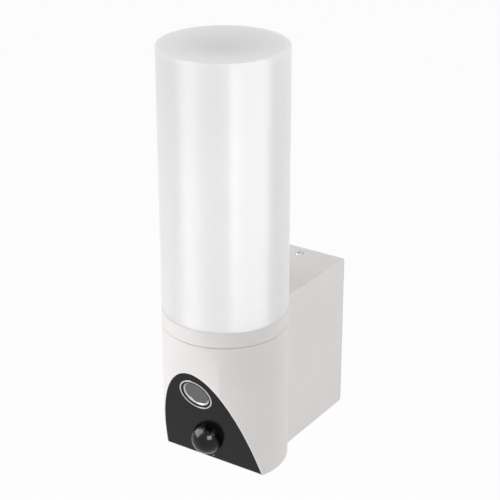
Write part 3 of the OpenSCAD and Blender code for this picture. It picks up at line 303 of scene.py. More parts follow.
class Form:
    """A closed mesh in the making, in millimetres."""

    def __init__(self, mesh: bmesh.types.BMesh) -> None:
        """Keeps the mesh and turns its faces outward."""
        self.mesh = mesh
        bmesh.ops.recalc_face_normals(mesh, faces=mesh.faces)

    @classmethod
    def turned(cls, profile: Sequence[Point], steps: int = 128) -> "Form":
        """Turns a closed profile about z.

        Args:
            profile: Radius and height of each point.
            steps: Straight pieces round the axis.

        Returns:
            The turned form.
        """
        mesh = bmesh.new()
        rings = []
        for radius, height in profile:
            if radius < 1e-6:
                rings.append([mesh.verts.new((0.0, 0.0, height))])
                continue
            rings.append([mesh.verts.new((x, y, height)) for x, y in circle(radius, steps=steps)])
        for lower, upper in zip(rings, rings[1:] + rings[:1]):
            cls._band(mesh, lower, upper)
        return cls(mesh)

    @staticmethod
    def _band(mesh: bmesh.types.BMesh, lower: list, upper: list) -> None:
        """Joins two rings with faces; a ring of one point closes to a fan."""
        count = max(len(lower), len(upper))
        if count == 1:
            return
        for k in range(count):
            corners = [
                lower[k % len(lower)],
                lower[(k + 1) % len(lower)],
                upper[(k + 1) % len(upper)],
                upper[k % len(upper)],
            ]
            mesh.faces.new(list(dict.fromkeys(corners)))

    @classmethod
    def plate(
        cls,
        outline: Sequence[Point],
        low: float,
        high: float,
        holes: Sequence[Sequence[Point]] = (),
        rim: float = 0.0,
        steps: int = 3,
    ) -> "Form":
        """Makes a flat plate with holes through it and rounded rims.

        Args:
            outline: Outside of the plate.
            low: Height of its lower face.
            high: Height of its upper face.
            holes: Outlines of the holes.
            rim: Radius of the rims.
            steps: Straight pieces along each rim.

        Returns:
            The plate.
        """
        mesh = bmesh.new()
        ends: tuple[list, list] = ([], [])
        bends = [math.pi / 2 * k / steps for k in range(steps + 1)] if rim > 0 else [math.pi / 2]
        layers = [(rim * (1 - math.sin(a)), low + rim * (1 - math.cos(a))) for a in bends]
        layers += [(inset, low + high - height) for inset, height in reversed(layers)]
        for hole, loop in enumerate([outline, *holes]):
            inward = cls._inward(loop)
            side = -1.0 if hole else 1.0
            rings = [
                [
                    mesh.verts.new((x + side * inset * nx, y + side * inset * ny, height))
                    for (x, y), (nx, ny) in zip(loop, inward)
                ]
                for inset, height in layers
            ]
            for lower, upper in zip(rings, rings[1:]):
                cls._band(mesh, lower, upper)
            for end, ring in zip(ends, (rings[0], rings[-1])):
                end.extend(mesh.edges.get((a, b)) for a, b in zip(ring, ring[1:] + ring[:1]))
        for end in ends:
            bmesh.ops.triangle_fill(mesh, edges=end, use_beauty=True, use_dissolve=False)
        return cls(mesh)

    @staticmethod
    def _inward(loop: Sequence[Point]) -> list[Point]:
        """Gives the mitred inward direction at each point of a closed outline."""
        count = len(loop)
        area = sum(
            loop[i][0] * loop[(i + 1) % count][1] - loop[(i + 1) % count][0] * loop[i][1]
            for i in range(count)
        )
        sign = 1.0 if area > 0 else -1.0
        inward = []
        for i in range(count):
            here = Vector(loop[i])
            back = (here - Vector(loop[i - 1])).normalized()
            ahead = (Vector(loop[(i + 1) % count]) - here).normalized()
            mid = Vector((-back.y - ahead.y, back.x + ahead.x)).normalized() * sign
            bend = max(0.35, mid.dot(Vector((-ahead.y, ahead.x)) * sign))
            inward.append((mid.x / bend, mid.y / bend))
        return inward

    @classmethod
    def sleeve(cls, inner: float, outer: float, low: float, high: float, steps: int) -> "Form":
        """Makes a tube with square ends on the z axis."""
        return cls.turned([(inner, low), (outer, low), (outer, high), (inner, high)], steps)

    @classmethod
    def bar(cls, radius: float, low: float, high: float, steps: int = 48) -> "Form":
        """Makes a round bar on the z axis."""
        return cls.sleeve(0.0, radius, low, high, steps)

    @classmethod
    def block(cls, low: Spot, high: Spot) -> "Form":
        """Makes a block between two corners."""
        mesh = bmesh.new()
        size = Vector(high) - Vector(low)
        place = Matrix.Translation((Vector(low) + Vector(high)) / 2) @ Matrix.Diagonal((*size, 1.0))
        bmesh.ops.create_cube(mesh, size=1.0, matrix=place)
        return cls(mesh)

    @classmethod
    def threaded(cls, radius: float, pitch: float, low: float, head: Sequence[Point]) -> "Form":
        """Makes a screw with a cut thread, as one closed skin.

        Args:
            radius: Outside radius of the thread.
            pitch: Distance from one turn to the next.
            low: Height of the screw's tip; the thread ends at the head's first point.
            head: Radius and height of the head's profile, from its underside to its middle.

        Returns:
            The screw, with its axis on z.
        """
        mesh = bmesh.new()
        steps, per_turn = 36, 6
        depth = 0.54 * pitch
        rows = [[mesh.verts.new((0.0, 0.0, low))]]
        count = round((head[0][1] - low) / pitch * per_turn)
        for i in range(count + 1):
            height = low + (head[0][1] - low) * i / count
            taper = min(1.0, (height - low) / pitch)
            row = []
            for k in range(steps):
                phase = (height / pitch - k / steps) % 1.0
                cut = depth * abs(2 * phase - 1) + depth * (1 - taper)
                angle = 2 * math.pi * k / steps
                reach = radius - cut
                row.append(mesh.verts.new((reach * math.cos(angle), reach * math.sin(angle), height)))
            rows.append(row)
        for reach, height in head:
            ring = circle(reach, steps=steps) if reach > 0 else [(0.0, 0.0)]
            rows.append([mesh.verts.new((x, y, height)) for x, y in ring])
        for lower, upper in zip(rows, rows[1:]):
            cls._band(mesh, lower, upper)
        return cls(mesh)

    @classmethod
    def hoop(cls, path: Sequence[Spot], radius: float, steps: int = 8) -> "Form":
        """Sweeps a round section along a path that ends where it starts.

        Args:
            path: Points of the path.
            radius: Radius of the section.
            steps: Straight pieces round the section.

        Returns:
            The swept form.
        """
        mesh = bmesh.new()
        points = [Vector(p) for p in path]
        section = circle(radius, steps=steps)
        side = None
        rings = []
        for i, point in enumerate(points):
            along = (points[(i + 1) % len(points)] - points[i - 1]).normalized()
            side = along.orthogonal() if side is None else side - along * side.dot(along)
            side.normalize()
            other = along.cross(side)
            rings.append([mesh.verts.new(point + x * side + y * other) for x, y in section])
        for lower, upper in zip(rings, rings[1:] + rings[:1]):
            cls._band(mesh, lower, upper)
        return cls(mesh)

    def placed(self, place: Matrix) -> "Form":
        """Moves the form and gives it back."""
        bmesh.ops.transform(self.mesh, matrix=place, verts=self.mesh.verts)
        return self

    def at(self, x: float, y: float, z: float) -> "Form":
        """Shifts the form and gives it back."""
        return self.placed(Matrix.Translation((x, y, z)))

    def on_pillar(self) -> "Form":
        """Moves the form from the pillar's axes to the frame's and gives it back."""
        return self.placed(LAYOUT.pillar())

    def with_loose(self, others: Iterable["Form"]) -> "Form":
        """Takes in other forms as loose shells of the same piece."""
        for other in others:
            spare = bpy.data.meshes.new("spare")
            other.mesh.to_mesh(spare)
            self.mesh.from_mesh(spare)
            bpy.data.meshes.remove(spare)
            other.mesh.free()
        return self

    def joined(self, others: Iterable["Form"], how: Join) -> "Form":
        """Cuts others out of the form or welds them to it, one after the other.

        Args:
            others: The other forms, which are used up.
            how: What is done with each of them.

        Returns:
            The form itself.
        """
        base = self._spare_object("base", self.mesh)
        tools = [self._spare_object("tool", other.mesh) for other in others]
        for tool in tools:
            step = base.modifiers.new("join", "BOOLEAN")
            step.operation = how.value
            step.solver = "EXACT"
            step.object = tool
        graph = bpy.context.evaluated_depsgraph_get()
        result = bpy.data.meshes.new_from_object(base.evaluated_get(graph))
        self.mesh.free()
        self.mesh = bmesh.new()
        self.mesh.from_mesh(result)
        bmesh.ops.remove_doubles(self.mesh, verts=self.mesh.verts, dist=1e-4)
        for spare in [base, *tools]:
            data = spare.data
            bpy.data.objects.remove(spare)
            bpy.data.meshes.remove(data)
        bpy.data.meshes.remove(result)
        return self

    @staticmethod
    def _spare_object(name: str, mesh: bmesh.types.BMesh) -> Piece:
        """Puts a mesh in the scene for a moment."""
        data = bpy.data.meshes.new(name)
        mesh.to_mesh(data)
        spare = bpy.data.objects.new(name, data)
        bpy.context.scene.collection.objects.link(spare)
        return spare

    def cut(self, *others: "Form") -> "Form":
        """Cuts other forms out of this one."""
        return self.joined(others, Join.CUT)

    def weld(self, *others: "Form") -> "Form":
        """Welds other forms to this one."""
        return self.joined(others, Join.WELD)

    def eased(
        self,
        width: float,
        pick: Callable[[Vector], bool] = lambda mid: True,
        sharp: float = 35.0,
        steps: int = 2,
    ) -> "Form":
        """Rounds sharp edges.

        Args:
            width: Width of the rounding.
            pick: Says from an edge's middle whether the edge is rounded.
            sharp: Least bend of an edge, in degrees.
            steps: Straight pieces across the rounding.

        Returns:
            The form itself.
        """
        bmesh.ops.dissolve_limit(
            self.mesh, angle_limit=math.radians(0.2), verts=self.mesh.verts, edges=self.mesh.edges
        )
        limit = math.radians(sharp)
        edges = [
            edge
            for edge in self.mesh.edges
            if len(edge.link_faces) == 2
            and edge.calc_face_angle() > limit
            and pick((edge.verts[0].co + edge.verts[1].co) / 2)
        ]
        bmesh.ops.bevel(
            self.mesh, geom=edges, offset=width, segments=steps, profile=0.5, affect="EDGES", loop_slide=True
        )
        return self

    def piece(
        self,
        name: str,
        finish: "Finish",
        nodes: Sequence[str] = (),
        body: Body = Body.LAMP,
        slot: str = "",
        smooth: float = 40.0,
    ) -> None:
        """Makes the form a piece of the lamp.

        Args:
            name: Name of the piece.
            finish: Its finish.
            nodes: CAD nodes that it stands for.
            body: Body that it rides on.
            slot: Material slot of the record; not used.
            smooth: Greatest bend that is shaded smooth, in degrees.
        """
        data = bpy.data.meshes.new(name)
        bmesh.ops.remove_doubles(self.mesh, verts=self.mesh.verts, dist=MERGE)
        bmesh.ops.dissolve_degenerate(self.mesh, edges=self.mesh.edges, dist=MERGE)
        bmesh.ops.holes_fill(self.mesh, edges=[edge for edge in self.mesh.edges if edge.is_boundary])
        self.placed(Matrix.Scale(MM, 4))
        bmesh.ops.recalc_face_normals(self.mesh, faces=self.mesh.faces)
        self.mesh.to_mesh(data)
        self.mesh.free()
        data.shade_smooth()
        data.set_sharp_from_angle(angle=math.radians(smooth))
        data.materials.append(finish.material())
        made = bpy.data.objects.new(name, data)
        bpy.context.scene.collection.objects.link(made)
        even = made.modifiers.new("even_normals", "WEIGHTED_NORMAL")
        even.keep_sharp = True
        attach(made, body.value)
        if nodes:
            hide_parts(*nodes)
        LOG.info("piece %s: %d faces, on %s", name, len(data.polygons), body.value)


def along_y(form: Form) -> Form:
    """Turns a form so that its z runs along y, towards the wall, and its y runs down."""
    return form.placed(Matrix.Rotation(-math.pi / 2, 4, "X"))


class Desk:
    """Lays out and links the nodes of one tree."""

    def __init__(self, tree: Tree) -> None:
        """Keeps the tree."""
        self.tree = tree

    @classmethod
    def of(cls, holder: bpy.types.Material | bpy.types.World) -> "Desk":
        """Clears the tree of a material or a world and gives its desk."""
        holder.use_nodes = True
        holder.node_tree.nodes.clear()
        return cls(holder.node_tree)

    def fill(self, node: Node, values: Values) -> Node:
        """Fills the sockets of a node.

        Args:
            node: The node.
            values: What goes into its sockets: a plain value, or another node's socket.

        Returns:
            The node.
        """
        for socket, value in values.items():
            if isinstance(value, Socket):
                self.tree.links.new(value, node.inputs[socket])
            else:
                node.inputs[socket].default_value = value
        return node

    def node(self, kind: str, values: Values | None = None, **settings: object) -> Node:
        """Adds a node.

        Args:
            kind: Type of the node.
            values: What goes into its sockets.
            settings: Properties of the node.

        Returns:
            The node.
        """
        made = self.tree.nodes.new(kind)
        for key, value in settings.items():
            setattr(made, key, value)
        return self.fill(made, values or {})

    def effect(self, tree: Tree, values: Values) -> Outputs:
        """Places a shared effect with its own values and gives its outputs."""
        return self.node("ShaderNodeGroup", values, node_tree=tree).outputs

    def where(self) -> Socket:
        """Gives the object's coordinates."""
        return self.node("ShaderNodeTexCoord").outputs["Object"]

    def noise(self, vector: Socket, scale: object, detail: float = 3.0) -> Socket:
        """Adds a noise and gives its value."""
        values = {"Vector": vector, "Scale": scale, "Detail": detail, "Roughness": 0.55}
        return self.node("ShaderNodeTexNoise", values).outputs[0]

    def math(self, how: str, first: object, second: object = 0.0) -> Socket:
        """Adds a calculation with two values and gives its result."""
        return self.node("ShaderNodeMath", {0: first, 1: second}, operation=how).outputs[0]

    def vector(self, how: str, first: object, second: object = (0.0, 0.0, 0.0)) -> Socket:
        """Adds a calculation with two vectors and gives its result."""
        made = self.node("ShaderNodeVectorMath", {0: first, 1: second}, operation=how)
        return made.outputs["Value" if how == "LENGTH" else "Vector"]

    def mix(self, share: object, first: object, second: object) -> Socket:
        """Mixes two colours and gives the result."""
        return self.node("ShaderNodeMix", {0: share, 6: first, 7: second}, data_type="RGBA").outputs[2]

    def band(self, value: Socket, low: float, high: float) -> Socket:
        """Spreads a part of a value's range over 0 to 1."""
        values = {"Value": value, "From Min": low, "From Max": high}
        return self.node("ShaderNodeMapRange", values, interpolation_type="SMOOTHSTEP").outputs[0]

    def leave(self, **outputs: Socket) -> Tree:
        """Leads values out of a node group by name, and gives the group."""
        for name in outputs:
            kind = "NodeSocketColor" if name == "Color" else "NodeSocketFloat"
            self.tree.interface.new_socket(name=name, in_out="OUTPUT", socket_type=kind)
        self.fill(self.node("NodeGroupOutput"), outputs)
        return self.tree


class Effects:
    """Shader node groups that several finishes share, each built once."""

    SURFACE = {"Tone": "Color", "Shade": "Color", "Roughness": "Float", "Spread": "Float"}

    @staticmethod
    def _group(name: str, **inputs: str) -> tuple[Desk, Socket, Outputs]:
        """Starts a group.

        Args:
            name: Name of the group.
            inputs: Type of each input, by name.

        Returns:
            The desk of its tree, the object's coordinates and the inputs.
        """
        tree = bpy.data.node_groups.new(name, "ShaderNodeTree")
        for socket, kind in inputs.items():
            tree.interface.new_socket(name=socket, in_out="INPUT", socket_type=f"NodeSocket{kind}")
        desk = Desk(tree)
        return desk, desk.where(), desk.node("NodeGroupInput").outputs

    @staticmethod
    def _uneven(desk: Desk, entry: Outputs, broad: Socket, fine: Socket, share: float) -> dict[str, Socket]:
        """Gives the colour and the roughness of a surface from two noises.

        Args:
            desk: Desk of the group.
            entry: Its inputs: Tone, Shade, Roughness and Spread.
            broad: First noise.
            fine: Second noise.
            share: Share of the first noise.

        Returns:
            The colour and the roughness, by the names of the group's outputs.
        """
        both = desk.math("ADD", desk.math("MULTIPLY", broad, share), desk.math("MULTIPLY", fine, 1 - share))
        rough = desk.math("MULTIPLY", desk.math("SUBTRACT", both, 0.5), entry["Spread"])
        colour = desk.mix(desk.band(both, 0.3, 0.7), entry["Tone"], entry["Shade"])
        return {"Color": colour, "Roughness": desk.math("ADD", entry["Roughness"], rough)}

    @classmethod
    @cache
    def grain(cls) -> Tree:
        """Gives the fine grain and faint unevenness of moulded plastic and rubber."""
        desk, where, entry = cls._group("moulded_grain", **cls.SURFACE, Grain="Float", Patch="Float")
        fine = desk.noise(where, entry["Grain"], 2.0)
        broad = desk.noise(where, entry["Patch"], 4.0)
        return desk.leave(**cls._uneven(desk, entry, broad, fine, 0.75), Height=fine)

    @classmethod
    @cache
    def drawn(cls) -> Tree:
        """Gives the streaks of drawn, rolled or turned metal."""
        desk, where, entry = cls._group("drawn_streaks", **cls.SURFACE, Stretch="Vector")
        streak = desk.noise(desk.vector("MULTIPLY", where, entry["Stretch"]), 1.0, 5.0)
        cloud = desk.noise(where, 90.0, 3.0)
        return desk.leave(**cls._uneven(desk, entry, streak, cloud, 0.6), Height=streak)

    @classmethod
    @cache
    def rub(cls) -> Tree:
        """Gives a mask of the edges that handling rubs brighter."""
        desk, where, entry = cls._group("edge_rub", Amount="Float")
        bend = desk.node("ShaderNodeNewGeometry").outputs["Pointiness"]
        broken = desk.band(desk.noise(where, 700.0, 4.0), 0.35, 0.65)
        mask = desk.math("MULTIPLY", desk.band(bend, 0.515, 0.56), broken)
        return desk.leave(Mask=desk.math("MULTIPLY", mask, entry["Amount"]))

    @classmethod
    @cache
    def marks(cls) -> Tree:
        """Gives the faint smudges that handling leaves on a polished surface."""
        desk, where, entry = cls._group("handling_marks", Roughness="Float", Smudge="Float", Size="Float")
        broad = desk.band(desk.noise(where, entry["Size"], 2.0), 0.45, 0.75)
        fine = desk.noise(where, desk.math("MULTIPLY", entry["Size"], 9.0), 3.0)
        smudge = desk.math("MULTIPLY", desk.math("MULTIPLY", broad, fine), entry["Smudge"])
        return desk.leave(Roughness=desk.math("ADD", entry["Roughness"], smudge))

    @classmethod
    @cache
    def weave(cls) -> Tree:
        """Gives two crossing sets of fine threads, as in wire cloth and board laminate."""
        desk, where, entry = cls._group("crossed_threads", Threads="Float")
        parts = desk.node("ShaderNodeSeparateXYZ", {0: where}).outputs
        waves = []
        for across in (parts[0], desk.math("ADD", parts[1], parts[2])):
            turn = desk.math("MULTIPLY", across, entry["Threads"])
            waves.append(desk.math("ABSOLUTE", desk.math("SINE", turn)))
        return desk.leave(Height=desk.math("MAXIMUM", *waves))


@dataclass(frozen=True)
class Finish:
    """A finish that has its own material."""

    name: str

    def material(self) -> bpy.types.Material:
        """Gives the finish's material, made at the first call."""
        found = bpy.data.materials.get(self.name)
        if found is not None:
            return found
        made = bpy.data.materials.new(self.name)
        desk = Desk.of(made)
        shader = desk.node("ShaderNodeBsdfPrincipled")
        desk.node("ShaderNodeOutputMaterial", {"Surface": shader.outputs[0]})
        desk.fill(shader, self.values(desk))
        return made

    def values(self, desk: Desk) -> Values:
        """Gives what goes into the shader's sockets; each kind of finish has its own way."""
        raise NotImplementedError

    @staticmethod
    def bump(desk: Desk, height: Socket, depth: float) -> Socket:
        """Turns a height into a normal.

        Args:
            desk: Desk of the material.
            height: The height.
            depth: Depth of the relief, in millimetres.

        Returns:
            The normal.
        """
        values = {"Strength": 0.6, "Distance": depth * MM, "Height": height}
        return desk.node("ShaderNodeBump", values).outputs[0]


@dataclass(frozen=True)
class Moulded(Finish):
    """Plastic, rubber, foam or other plain matter with a fine grain.

    Attributes:
        tone: Main colour.
        shade: Colour of the faint unevenness.
        roughness: Mean roughness.
        spread: How far the roughness wanders.
        grain: Width of the grain, in millimetres.
        patch: Width of the unevenness, in millimetres.
        depth: Depth of the grain, in millimetres.
        gloss: Specular level.
    """

    tone: Rgba = grey(200)
    shade: Rgba = grey(190)
    roughness: float = 0.45
    spread: float = 0.08
    grain: float = 0.35
    patch: float = 30.0
    depth: float = 0.01
    gloss: float = 0.5

    def values(self, desk: Desk) -> Values:
        """Sets up the grain and the gloss."""
        values = {
            "Tone": self.tone,
            "Shade": self.shade,
            "Grain": 1 / (self.grain * MM),
            "Patch": 1 / (self.patch * MM),
            "Roughness": self.roughness,
            "Spread": self.spread,
        }
        grain = desk.effect(Effects.grain(), values)
        return {
            "Base Color": grain["Color"],
            "Roughness": grain["Roughness"],
            "Normal": self.bump(desk, grain["Height"], self.depth),
            "Specular IOR Level": self.gloss,
        }


@dataclass(frozen=True)
class Polished(Finish):
    """Polished plastic or glass with faint handling marks.

    Attributes:
        tone: Main colour.
        shade: Colour of the faint unevenness.
        roughness: Roughness between the marks.
        smudge: How much the marks add to it.
        patch: Width of the marks, in millimetres.
        gloss: Specular level.
        soft: Weight of light that travels under the surface.
        reach: How far that light travels, in millimetres.
        glow: Colour that the surface gives off: the status light's lit LED, and on the opal a painted glow
            that brightens its shaded side.
        glow_strength: Strength of that glow.
        clear: Weight of light that passes through.
        pearl: Weight of a gloss that is as strong face-on as at the edges.
    """

    tone: Rgba = grey(20)
    shade: Rgba = grey(26)
    roughness: float = 0.12
    smudge: float = 0.1
    patch: float = 14.0
    gloss: float = 0.5
    soft: float = 0.0
    reach: float = 8.0
    glow: Rgba = grey(0)
    glow_strength: float = 0.0
    clear: float = 0.0
    pearl: float = 0.0

    def values(self, desk: Desk) -> Values:
        """Sets up the marks, the colour and the light under the surface."""
        marks = {"Roughness": self.roughness, "Smudge": self.smudge, "Size": 1 / (self.patch * MM)}
        return {
            "Roughness": desk.effect(Effects.marks(), marks)[0],
            "Base Color": self.colour(desk),
            "Specular IOR Level": self.gloss,
            "Subsurface Weight": self.soft,
            "Subsurface Radius": (1.0, 1.0, 1.0),
            "Subsurface Scale": self.reach * MM,
            # Emission: the status light's lit LED; on the opal a painted glow that brightens its shaded
            # side.
            "Emission Color": self.glow,
            "Emission Strength": self.glow_strength,
            "Transmission Weight": self.clear,
            "Metallic": self.pearl,
        }

    def colour(self, desk: Desk) -> Socket:
        """Gives the colour with its faint unevenness."""
        share = desk.band(desk.noise(desk.where(), 1 / (self.patch * MM)), 0.3, 0.7)
        return desk.mix(share, self.tone, self.shade)


@dataclass(frozen=True)
class Opal(Polished):
    """Opal plastic whose colour carries painted shade, darker towards the pillar's axis, where its closed
    top gets less light through the walls.

    Attributes:
        middle: Colour of the painted shade at the pillar's axis.
        span: Distance from the axis at which the painted shade ends and the colour is the walls' own, in
            millimetres.
    """

    # Painted shade: the colour darkens from the walls' own to middle towards the pillar's axis.
    middle: Rgba = grey(180)
    span: float = 39.0

    def colour(self, desk: Desk) -> Socket:
        """Gives the colour with painted shade, darker towards the pillar's axis."""
        place = desk.vector("ADD", desk.where(), (0.0, LAYOUT.reach * MM, 0.0))
        distance = desk.vector("LENGTH", desk.vector("MULTIPLY", place, (1.0, 1.0, 0.0)))
        return desk.mix(desk.band(distance, 0.0, self.span * MM), self.middle, super().colour(desk))


@dataclass(frozen=True)
class Metal(Finish):
    """Bare or plated metal with drawn streaks.

    Attributes:
        tone: Main colour.
        shade: Colour between the streaks.
        roughness: Mean roughness.
        spread: How far the roughness wanders.
        stretch: Streaks per metre along each axis.
        depth: Depth of the streaks, in millimetres.
        rub: How much the edges are rubbed bright.
        bright: Colour of rubbed edges.
    """

    tone: Rgba = grey(205)
    shade: Rgba = grey(185)
    roughness: float = 0.28
    spread: float = 0.2
    stretch: Spot = (2500.0, 2500.0, 120.0)
    depth: float = 0.004
    rub: float = 0.0
    bright: Rgba = grey(240)

    def values(self, desk: Desk) -> Values:
        """Sets up the streaks and the rubbed edges."""
        values = {
            "Tone": self.tone,
            "Shade": self.shade,
            "Stretch": self.stretch,
            "Roughness": self.roughness,
            "Spread": self.spread,
        }
        streaks = desk.effect(Effects.drawn(), values)
        colour = streaks["Color"]
        if self.rub:
            mask = desk.effect(Effects.rub(), {"Amount": self.rub})[0]
            colour = desk.mix(mask, colour, self.bright)
        return {
            "Base Color": colour,
            "Roughness": streaks["Roughness"],
            "Normal": self.bump(desk, streaks["Height"], self.depth),
            "Metallic": 1.0,
        }


@dataclass(frozen=True)
class Woven(Finish):
    """A sheet whose threads show, such as wire cloth or board laminate under its lacquer.

    Attributes:
        tone: Colour of the threads' tops.
        shade: Colour between them; on the wire cloth its near-black is painted shade in the cloth's
            openings, on the boards the laminate's own weave.
        roughness: Roughness.
        threads: Width of a thread, in millimetres.
        depth: Depth of the weave, in millimetres.
        metal: Metallic value.
    """

    tone: Rgba = srgb(28, 92, 58)
    shade: Rgba = srgb(20, 70, 44)
    roughness: float = 0.35
    threads: float = 0.4
    depth: float = 0.02
    metal: float = 0.0

    def values(self, desk: Desk) -> Values:
        """Sets up the weave."""
        height = desk.effect(Effects.weave(), {"Threads": math.pi / (self.threads * MM)})[0]
        cloud = desk.noise(desk.where(), 120.0)
        share = desk.math("MULTIPLY", height, desk.band(cloud, 0.2, 0.8))
        return {
            # Darker between the threads: on the boards the laminate's own weave, on the wire cloth painted
            # shade in its openings.
            "Base Color": desk.mix(share, self.shade, self.tone),
            "Roughness": desk.math("ADD", self.roughness, desk.math("MULTIPLY", cloud, 0.1)),
            "Normal": self.bump(desk, height, self.depth),
            "Metallic": self.metal,
        }


@dataclass(frozen=True)
class Finishes:
    """All finishes of the lamp."""

    # The opal paints shade into its colour, darker towards the axis of the closed top.
    opal: Finish = Opal(
        "opal_diffuser",
        grey(206),
        grey(202),
        roughness=0.33,
        smudge=0.05,
        patch=60.0,
        gloss=0.0,
        pearl=0.05,
        soft=0.7,
        reach=20.0,
        # Painted glow that brightens the opal's shaded side.
        glow=grey(255),
        glow_strength=0.2,
    )
    white: Finish = Moulded(
        "white_housing", srgb(239, 236, 235), srgb(235, 232, 231), roughness=0.55, patch=40.0, gloss=0.2
    )
    black: Finish = Polished(
        "black_face", grey(9), grey(12), roughness=0.12, smudge=0.06, patch=20.0, gloss=0.1
    )
    lens_black: Finish = Moulded("black_optics", grey(16), grey(20), roughness=0.5, gloss=0.3)
    dome: Finish = Polished(
        "gloss_black_dome", grey(4), grey(6), roughness=0.13, smudge=0.05, patch=9.0, gloss=0.3
    )
    silver: Finish = Metal("bright_trim", grey(206), grey(194), roughness=0.28, spread=0.1)
    satin_trim: Finish = Metal("satin_trim", grey(204), grey(190), roughness=0.36, spread=0.1)
    glass: Finish = Polished(
        "lens_glass", grey(98), grey(90), roughness=0.12, smudge=0.05, patch=6.0, clear=0.35
    )
    optic: Finish = Polished(
        "coated_optic", srgb(40, 38, 70), srgb(30, 44, 66), roughness=0.03, smudge=0.02, patch=4.0
    )
    light: Finish = Polished(
        "blue_light_pipe",
        srgb(78, 86, 96),
        srgb(70, 80, 92),
        roughness=0.2,
        smudge=0.05,
        patch=1.5,
        glow=srgb(100, 140, 190),
        glow_strength=0.06,
    )
    aluminium: Finish = Metal("drawn_aluminium", grey(214), grey(198), roughness=0.34)
    steel: Finish = Metal(
        "zinc_plated_steel", grey(196), srgb(176, 178, 170), roughness=0.36, spread=0.3, rub=0.5
    )
    dark_steel: Finish = Metal("black_steel", grey(70), grey(58), roughness=0.4, rub=0.7)
    brass: Finish = Metal("brass", srgb(212, 176, 96), srgb(188, 150, 76), roughness=0.3)
    copper: Finish = Metal("enamelled_copper", srgb(196, 112, 56), srgb(168, 84, 40), roughness=0.25)
    rubber: Finish = Moulded(
        "black_rubber", grey(40), grey(50), roughness=0.72, grain=0.5, depth=0.02, gloss=0.3
    )
    pale_rubber: Finish = Moulded(
        "pale_rubber", grey(206), grey(198), roughness=0.66, grain=0.5, depth=0.02, gloss=0.35
    )
    foam: Finish = Moulded(
        "cell_foam", grey(222), grey(208), roughness=0.9, grain=0.7, patch=3.0, depth=0.08, gloss=0.2
    )
    board: Finish = Woven("green_board")
    light_board: Finish = Woven("white_board", grey(238), grey(228), roughness=0.4, depth=0.008)
    phosphor: Finish = Polished(
        "phosphor", srgb(244, 216, 120), srgb(238, 204, 100), roughness=0.4, soft=0.3, reach=0.6
    )
    chip: Finish = Moulded("chip_black", grey(34), grey(42), roughness=0.55, grain=0.15, patch=3.0)
    can: Finish = Metal("tinned_can", grey(206), grey(194), roughness=0.3, stretch=(120.0, 2000.0, 2000.0))
    ivory: Finish = Moulded("ivory_terminal", srgb(226, 220, 200), srgb(218, 210, 188), roughness=0.5)
    tape: Finish = Moulded("winding_tape", srgb(226, 178, 60), srgb(214, 162, 48), roughness=0.3)
    ferrite: Finish = Moulded("ferrite", grey(62), grey(54), roughness=0.6, grain=0.2, patch=5.0)
    sleeve: Finish = Moulded("capacitor_sleeve", srgb(30, 38, 84), srgb(36, 44, 92), roughness=0.3)
    ribbon: Finish = Moulded("polyimide_ribbon", srgb(192, 128, 52), srgb(180, 116, 44), roughness=0.25)
    cone: Finish = Moulded("paper_cone", grey(40), grey(52), roughness=0.85, grain=0.4, depth=0.03)
    # grey(14) between the wire cloth's threads is painted shade in its openings.
    mesh: Finish = Woven(
        "wire_cloth", grey(96), grey(14), roughness=0.4, threads=0.35, depth=0.12, metal=0.7
    )
    plug: Finish = Moulded("plug_grey", grey(222), grey(216), roughness=0.6, grain=0.5, gloss=0.35)
    card: Finish = Moulded("card_black", grey(36), grey(42), roughness=0.45, grain=0.2, patch=4.0)
    gold: Finish = Metal("gold_contacts", srgb(226, 190, 104), srgb(214, 176, 90), roughness=0.2)


FINISH = Finishes()


@dataclass
class SubAssembly:
    """Pieces that belong together, with the frame's nodes.

    Attributes:
        nodes: The frame's nodes.
    """

    nodes: dict[str, Piece]

    def dress(self, finish: Finish, *names: str) -> None:
        """Gives CAD nodes that stay in sight a finish of their own.

        Args:
            finish: The finish.
            names: Names of the nodes.
        """
        for name in names:
            node = self.nodes[name]
            if not node.material_slots:
                node.data.materials.append(None)
            for place in node.material_slots:
                place.material = finish.material()
            LOG.info("node %s: %s", name, finish.name)


